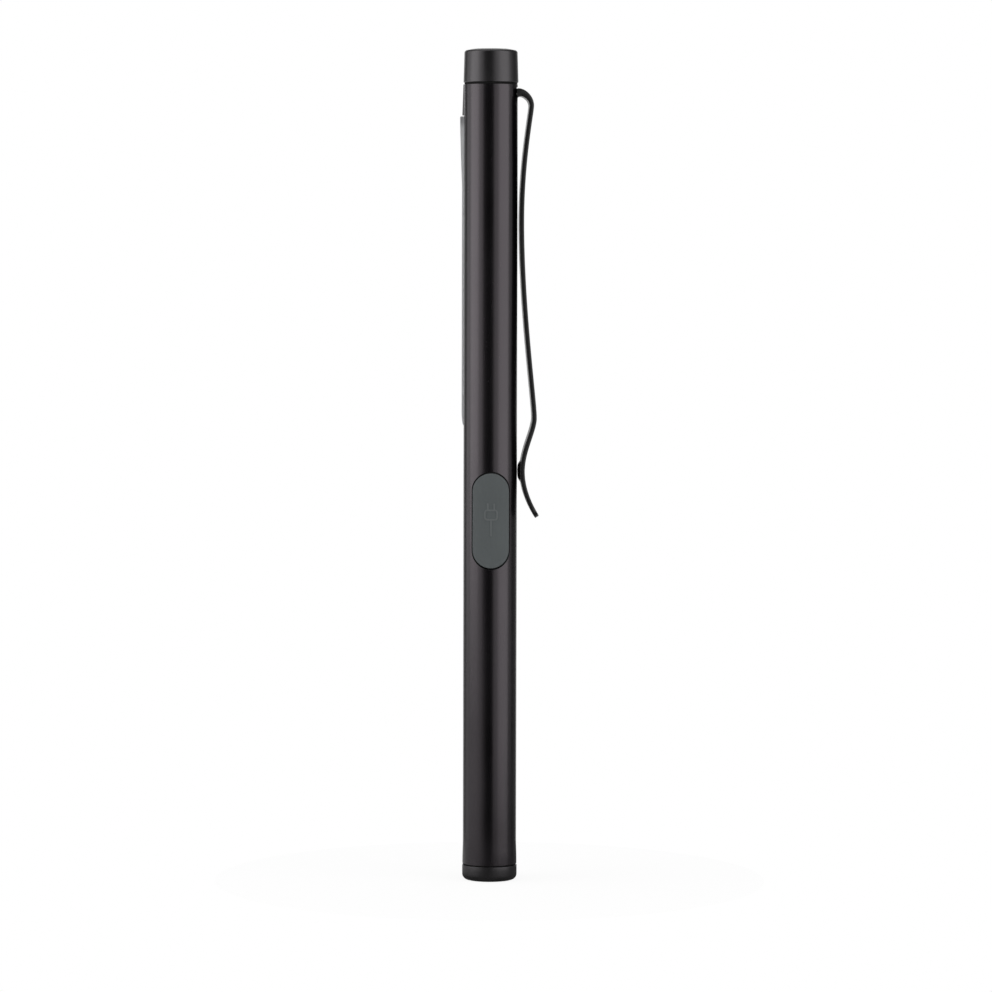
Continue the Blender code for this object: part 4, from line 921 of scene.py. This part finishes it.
def gathered(parts):
    """One mesh of several separate solids, each with the number of its material."""
    result = bmesh.new()
    for bm, number in parts:
        for f in bm.faces:
            f.material_index = number
        mesh = as_mesh("loose", bm)
        result.from_mesh(mesh)
        bpy.data.meshes.remove(mesh)
    return result


spot_pads = [moved(block(*SPOT_PAD), side, 0.0, SPOT_BOARD[0][1]) for side in SPOT_PAD_SIDES]
finished("spot_board_disc", gathered([(turned(SPOT_BOARD), 0), *((pad, 1) for pad in spot_pads)]),
         [white_mask, nickel_plate], "spot_board")
finished("spot_retainer_ring", carved(turned(RETAINER, closed=True), [block(*SPANNER_SLOT)]),
         carrier_plastic, "spot_retainer")


# Light bar's board. A long white board with round corners, slid into the core's rails, with two
# tinned pads under each LED.
BAR_BOARD = (1.975, 2.775, 7.248, 81.5, 127.25, 0.5, 6)
BAR_PAD_FLOOR = 2.7
BAR_PAD = (0.9, 2.0)
BAR_PAD_SIDE = 1.6
BAR_PAD_CORNER = 0.15

bar_board = [(bar(*BAR_BOARD), 0)]
for pad_z in led_heights:
    for side in (-BAR_PAD_SIDE, BAR_PAD_SIDE):
        pad = bar(BAR_PAD_FLOOR, BAR_BOARD[1] + PAD_RISE, *BAR_PAD, pad_z, BAR_PAD_CORNER, 4)
        bar_board.append((moved(pad, 0.0, side, 0.0), 1))
finished("strip_board_plate", facing(gathered(bar_board), BAR_TURN), [white_mask, nickel_plate],
         "strip_board")


# Switch. A low push switch with a moulded base, a plated lid and four leads, soldered to the light
# bar's board, and its plated plunger, which the button's post pushes in.
SWITCH_FLOOR = 2.825
SWITCH_BASE = (SWITCH_FLOOR, 3.27, 3.5, 3.5, BUTTON_Z, 0.3, 4)
SWITCH_LID = (3.27, 3.425, 3.6, 3.6, BUTTON_Z, 0.35, 4)
SWITCH_WELL = [(0.0, 2.925, 0.0), (1.05, 2.925, 0.0), (1.05, 4.0, 0.0), (0.0, 4.0, 0.0)]
PLUNGER = [(0.0, 3.275, 0.0), (0.75, 3.275, 0.04), (0.75, 3.5, 0.04), (0.6, 3.52, 0.0),
           (0.6, 3.775, 0.12), (0.0, 3.775, 0.0)]
SWITCH_LEAD = ((SWITCH_FLOOR, -0.15, -0.3), (SWITCH_FLOOR + 0.12, 0.15, 0.3))
SWITCH_LEAD_PLACE = (1.85, 1.1)

chip_resin = skin("chip_resin", (0.01, 0.01, 0.011), (0.028, 0.028, 0.028), (0.48, 0.66), 500.0,
                  5200.0, (0.45, 0.014))
switch = [(carved(bar(*sizes), [towards_x(turned(SWITCH_WELL, False, 48, 4), BUTTON_Z)]), number)
          for number, sizes in enumerate((SWITCH_BASE, SWITCH_LID))]
for side in (-SWITCH_LEAD_PLACE[0], SWITCH_LEAD_PLACE[0]):
    for end in (-SWITCH_LEAD_PLACE[1], SWITCH_LEAD_PLACE[1]):
        switch.append((moved(block(*SWITCH_LEAD), 0.0, side, BUTTON_Z + end), 1))
finished("switch_case", facing(gathered(switch), BAR_TURN), [chip_resin, nickel_plate],
         "switch_body")
plunger = towards_x(turned(PLUNGER, False, 64, 4), BUTTON_Z)
finished("switch_plunger_stem", facing(plunger, BAR_TURN), nickel_plate, "switch_plunger",
         "button")


# Main board. Green board across the tube, held in the core's rails, with tinned pads for the leads
# and small ceramic parts round the charge chip.
BOARD_FRONT = 1.0
BOARD_BACK = 1.8
BOARD_SIZE = (8.338, 26.2, 71.8, 0.5, 6)
LEAD_PADS = [(1.4, 60.4), (-1.4, 60.4), (1.4, 83.6), (-1.5, 83.6), (0.0, 83.6)]
SMALL_PARTS = [(-2.6, 65.4), (-2.6, 67.6), (2.6, 65.4), (2.6, 67.6), (-1.6, 71.6), (0.0, 71.6),
               (1.6, 71.6)]
LEAD_PAD = ((-0.5, -0.7, -0.05), (0.5, 0.7, PAD_RISE))
PART_BODY = ((-0.25, -0.4, 0.02), (0.25, 0.4, 0.45))
PART_END = ((-0.28, -0.12, 0.0), (0.28, 0.12, 0.48))
PART_END_PLACE = 0.5
PART_EDGE = 0.04

green_mask = skin("green_solder_mask", (0.008, 0.09, 0.03), (0.016, 0.15, 0.055), (0.26, 0.4),
                  420.0, 2600.0, (0.25, 0.012))
ceramic = skin("brown_ceramic", (0.2, 0.12, 0.06), (0.32, 0.2, 0.11), (0.4, 0.55), 800.0, 4000.0,
               (0.3, 0.01))


def on_board(bm, x, y, z, turn=0.0):
    """Lays a piece that stands on z = 0 against the main board's front, or its back when turned."""
    matrix = (Matrix.Translation((x, y, z)) @ Matrix.Rotation(turn, 4, "Z")
              @ Matrix.Rotation(math.pi / 2, 4, "X"))
    bmesh.ops.transform(bm, matrix=matrix, verts=bm.verts)
    return bm


def rounded_block(low, high, edge):
    """A box between two corners with all its edges rounded."""
    bm = block(low, high)
    soften(bm, list(bm.edges), edge, 2)
    return bm


board = [(facing(bar(-BOARD_BACK, -BOARD_FRONT, *BOARD_SIZE), PORT_TURN), 0)]
board += [(on_board(block(*LEAD_PAD), x, BOARD_FRONT, z), 1) for x, z in LEAD_PADS]
for x, z in SMALL_PARTS:
    board.append((on_board(rounded_block(*PART_BODY, PART_EDGE), x, BOARD_FRONT, z), 2))
    for end in (-PART_END_PLACE, PART_END_PLACE):
        cap = moved(rounded_block(*PART_END, PART_EDGE), 0.0, end, 0.0)
        board.append((on_board(cap, x, BOARD_FRONT, z), 1))
finished("main_board_plate", gathered(board), [green_mask, nickel_plate, ceramic], "main_board")


# Chips. The charge chip on the main board's front and the driver chip on its back, moulded in
# black resin, each with four bent leads along both sides and a dot at its first lead.
CHIP_WIDTH = 3.0
CHIP_LENGTH = 4.0
CHIP_HEIGHT = 0.8
CHIP_FLOOR = 0.05
CHIP_FOOT = 0.1
CHIP_EDGE = 0.08
CHIP_DOT = (0.2, 0.05)
CHIP_DOT_PLACE = (-0.6, -1.5)
CHIP_LEADS = 4
CHIP_LEAD = (0.6, 0.16, 0.05)
CHIP_LEAD_REACH = 0.45
CHIP_LEAD_BEND = 0.2
CHIP_LEAD_DROP = 0.4
CHIP_LEAD_PITCH = 0.96
CHIPS = {"charge": (BOARD_FRONT - CHIP_FLOOR, 66.8, 0.0),
         "driver": (BOARD_BACK + CHIP_FLOOR, PORT_Z, math.pi)}


def chip_package():
    """A moulded package with bent leads along two sides, lying on z = 0."""
    edge = CHIP_WIDTH / 2
    lid = rounded_block((CHIP_LEAD_REACH - edge, -CHIP_LENGTH / 2, CHIP_FOOT),
                        (edge - CHIP_LEAD_REACH, CHIP_LENGTH / 2, CHIP_HEIGHT), CHIP_EDGE)
    radius, depth = CHIP_DOT
    dot = turned([(0.0, CHIP_HEIGHT - depth, 0.0), (radius, CHIP_HEIGHT - depth, 0.0),
                  (radius, CHIP_HEIGHT + radius, 0.0), (0.0, CHIP_HEIGHT + radius, 0.0)], False, 24)
    parts = [(carved(lid, [moved(dot, *CHIP_DOT_PLACE, 0.0)]), 0)]
    run, half, thick = CHIP_LEAD
    for side in (0.0, math.pi):
        for i in range(CHIP_LEADS):
            lead = block((edge - run, -half, -thick), (edge, half, thick))
            slice_along(lead, 0, [edge - run + run / 15 * k for k in range(1, 15)])
            for v in lead.verts:
                bent = eased((v.co.x - edge + CHIP_LEAD_REACH) / CHIP_LEAD_BEND)
                v.co.z += thick + CHIP_LEAD_DROP * (1.0 - bent)
            place = (i - (CHIP_LEADS - 1) / 2) * CHIP_LEAD_PITCH
            parts.append((moved(rotated(lead, side, "Z"), 0.0, place, 0.0), 1))
    return gathered(parts)


for chip, place in CHIPS.items():
    finished(f"{chip}_chip_package", on_board(chip_package(), 0.0, *place),
             [chip_resin, nickel_plate], f"{chip}_chip")


# Charge light. A small white LED package with yellow phosphor, soldered to the main board beside
# the charging socket, where it shows that the cell is being charged.
CHARGE_LIGHT = (0.6, 0.6, 0.0)
CHARGE_LIGHT_PLACE = (2.4, BOARD_FRONT - CHIP_FLOOR, 75.5)

finished("charge_light_package", on_board(led_package(*CHARGE_LIGHT), *CHARGE_LIGHT_PLACE),
         [led_case, phosphor], "charge_light")


# Charging socket. A shell folded from plated sheet steel with spring windows in its walls, and a
# black insert whose blade carries five gold contacts. It is soldered to the main board.
SOCKET_SHELL = (-0.95, 4.0, 3.0, 7.8, PORT_Z, 0.7, 10)
SOCKET_BORE = (-2.0, 5.0, 2.4, 7.2, PORT_Z, 0.4, 10)
SOCKET_MOUTH = (0.08, 3, 3.9)
SPRING_WINDOW = ((0.9, -2.0, -0.35), (2.8, 2.0, 0.35))
SPRING_WINDOW_PLACE = 2.1
TONGUE_BASE = (-0.95, 0.25, 2.2, 7.0, PORT_Z, 0.4, 8)
TONGUE_BLADE = (0.0, 3.4, 0.6, 5.0, PORT_Z, 0.12, 4)
CONTACT = ((0.25, 0.25, -0.2), (3.2, 0.36, 0.2))
CONTACT_PITCH = 0.85
CONTACT_EDGE = 0.04

plated_steel = skin("plated_sheet_steel", (0.42, 0.42, 0.42), (0.58, 0.58, 0.58), (0.24, 0.4),
                    320.0, 3900.0, (0.25, 0.012), Metallic=1.0)
gold = skin("gold_plate", (0.7, 0.46, 0.14), (0.85, 0.62, 0.24), (0.18, 0.32), 900.0, 4000.0,
            (0.2, 0.01), Metallic=1.0)
windows = [moved(block(*SPRING_WINDOW), 0.0, 0.0, PORT_Z + place)
           for place in (-SPRING_WINDOW_PLACE, SPRING_WINDOW_PLACE)]
shell = carved(bar(*SOCKET_SHELL), [bar(*SOCKET_BORE), *windows])
soften_rim(shell, *SOCKET_MOUTH)
finished("usb_socket_shell", facing(shell, PORT_TURN), plated_steel, "usb_socket")
tongue = [(carved(bar(*TONGUE_BASE), [bar(*TONGUE_BLADE)], "UNION"), 0)]
for i in range(-2, 3):
    contact = moved(block(*CONTACT), 0.0, 0.0, PORT_Z + i * CONTACT_PITCH)
    crest = [e for e in contact.edges if all(v.co.y > CONTACT[0][1] for v in e.verts)]
    soften(contact, crest, CONTACT_EDGE, 2)
    tongue.append((contact, 1))
finished("usb_tongue_insert", facing(gathered(tongue), PORT_TURN), [chip_resin, gold],
         "usb_tongue")


# Battery. A thin steel can with a crimped neck, wrapped in blue film that is shrunk over its edges,
# with a white ring round its nub. Two spot-welded nickel tabs take the leads.
CELL = [
    (0.0, 55.0, 0.0), (1.5, 55.0, 0.2), (1.5, 54.34, 0.0), (2.9, 54.34, 0.0), (2.9, 54.4, 0.03),
    (3.825, 54.4, 0.35), (3.825, 51.9, 0.3), (3.575, 51.4, 0.25), (3.825, 50.9, 0.3),
    (3.825, 6.2, 0.3), (2.9, 6.2, 0.03), (2.9, 6.26, 0.0), (0.0, 6.26, 0.0)]
CELL_END_RADIUS = 2.9
NUB_RING = (54.0, 54.36)
TAB_HALF = 1.5
TAB_THICK = 0.2
TAB_CORNER = 0.4
TAB_SLICE = 0.12
TAB_TOP = (3.825, 2.325)
TAB_TOP_Z = 55.05
TAB_SIDE = (5.0, 2.8)
TAB_SIDE_PLACE = (0.0, -3.875, 7.2)
WELD_SPOTS = [(-0.6, -0.4), (0.6, -0.4), (-0.6, 0.4), (0.6, 0.4)]
WELD_RADIUS = 0.35
WELD_DEPTH = 0.07

cell_wrap = skin("shrunk_film_wrap", (0.03, 0.12, 0.32), (0.055, 0.18, 0.44), (0.2, 0.36), 130.0,
                 1500.0, (0.5, 0.03), Coat_Weight=0.4)
cell = turned(CELL)
for f in cell.faces:
    middle = f.calc_center_median()
    if math.hypot(middle.x, middle.y) < CELL_END_RADIUS:
        f.material_index = 2 if NUB_RING[0] < middle.z < NUB_RING[1] else 1
finished("battery_cell_can", cell, [cell_wrap, nickel_plate, white_mask], "battery_cell")


def welded_tab(length, middle):
    """A thin plate on z = 0 along Y, with four weld spots pressed into its top."""
    plate = block((-TAB_HALF, 0.0, 0.0), (TAB_HALF, length, TAB_THICK))
    soften(plate, [e for e in plate.edges if e.calc_length() < TAB_THICK * 1.01], TAB_CORNER, 5)
    slice_along(plate, 0, [TAB_SLICE * i for i in range(-12, 13)])
    slice_along(plate, 1, [TAB_SLICE * i for i in range(1, int(length / TAB_SLICE))])
    for v in plate.verts:
        for x, y in WELD_SPOTS:
            if v.co.z > TAB_THICK / 2:
                away = math.hypot(v.co.x - x, v.co.y - middle - y)
                v.co.z -= WELD_DEPTH * eased(1.0 - away / WELD_RADIUS)
    return plate


finished("battery_top_tab", moved(welded_tab(*TAB_TOP), 0.0, -TAB_TOP[1], TAB_TOP_Z),
         nickel_plate, "battery_tab_top")
finished("battery_side_tab", on_board(welded_tab(*TAB_SIDE), *TAB_SIDE_PLACE), nickel_plate,
         "battery_tab_side")


# Foam pad and magnet. A punched disc of soft foam under the cell, and a nickel plated disc magnet
# that lies loose on the tail cap's floor.
PAD = [(0.0, 5.8, 0.0), (3.575, 5.8, 0.25), (3.575, 4.3, 0.25), (0.0, 4.3, 0.0)]
MAGNET = [(0.0, 4.0, 0.0), (3.575, 4.0, 0.2), (3.575, 1.0, 0.2), (0.0, 1.0, 0.0)]

pad_foam = skin("closed_cell_foam", (0.02, 0.02, 0.02), (0.075, 0.075, 0.075), (0.88, 0.98), 700.0,
                2600.0, (0.9, 0.08), Specular_IOR_Level=0.2)
finished("battery_pad_disc", turned(PAD), pad_foam, "battery_pad")
finished("tail_magnet_disc", turned(MAGNET), nickel_plate, "tail_magnet")


# Core and leads. The moulded core and the six silicone leads keep their solid shapes, and each
# gets the surface of its own stuff.
red_lead = skin("red_silicone", (0.36, 0.008, 0.008), (0.52, 0.022, 0.018), (0.4, 0.56), 240.0,
                3000.0, (0.3, 0.012))
black_lead = skin("black_silicone", (0.008, 0.008, 0.008), (0.018, 0.018, 0.018), (0.4, 0.56),
                  240.0, 3000.0, (0.3, 0.012))
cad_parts["chassis"].material_slots[0].material = carrier_plastic
for colour, lead_skin in (("red", red_lead), ("black", black_lead)):
    for joined in ("battery", "spot", "strip"):
        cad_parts[f"{joined}_wire_{colour}"].material_slots[0].material = lead_skin
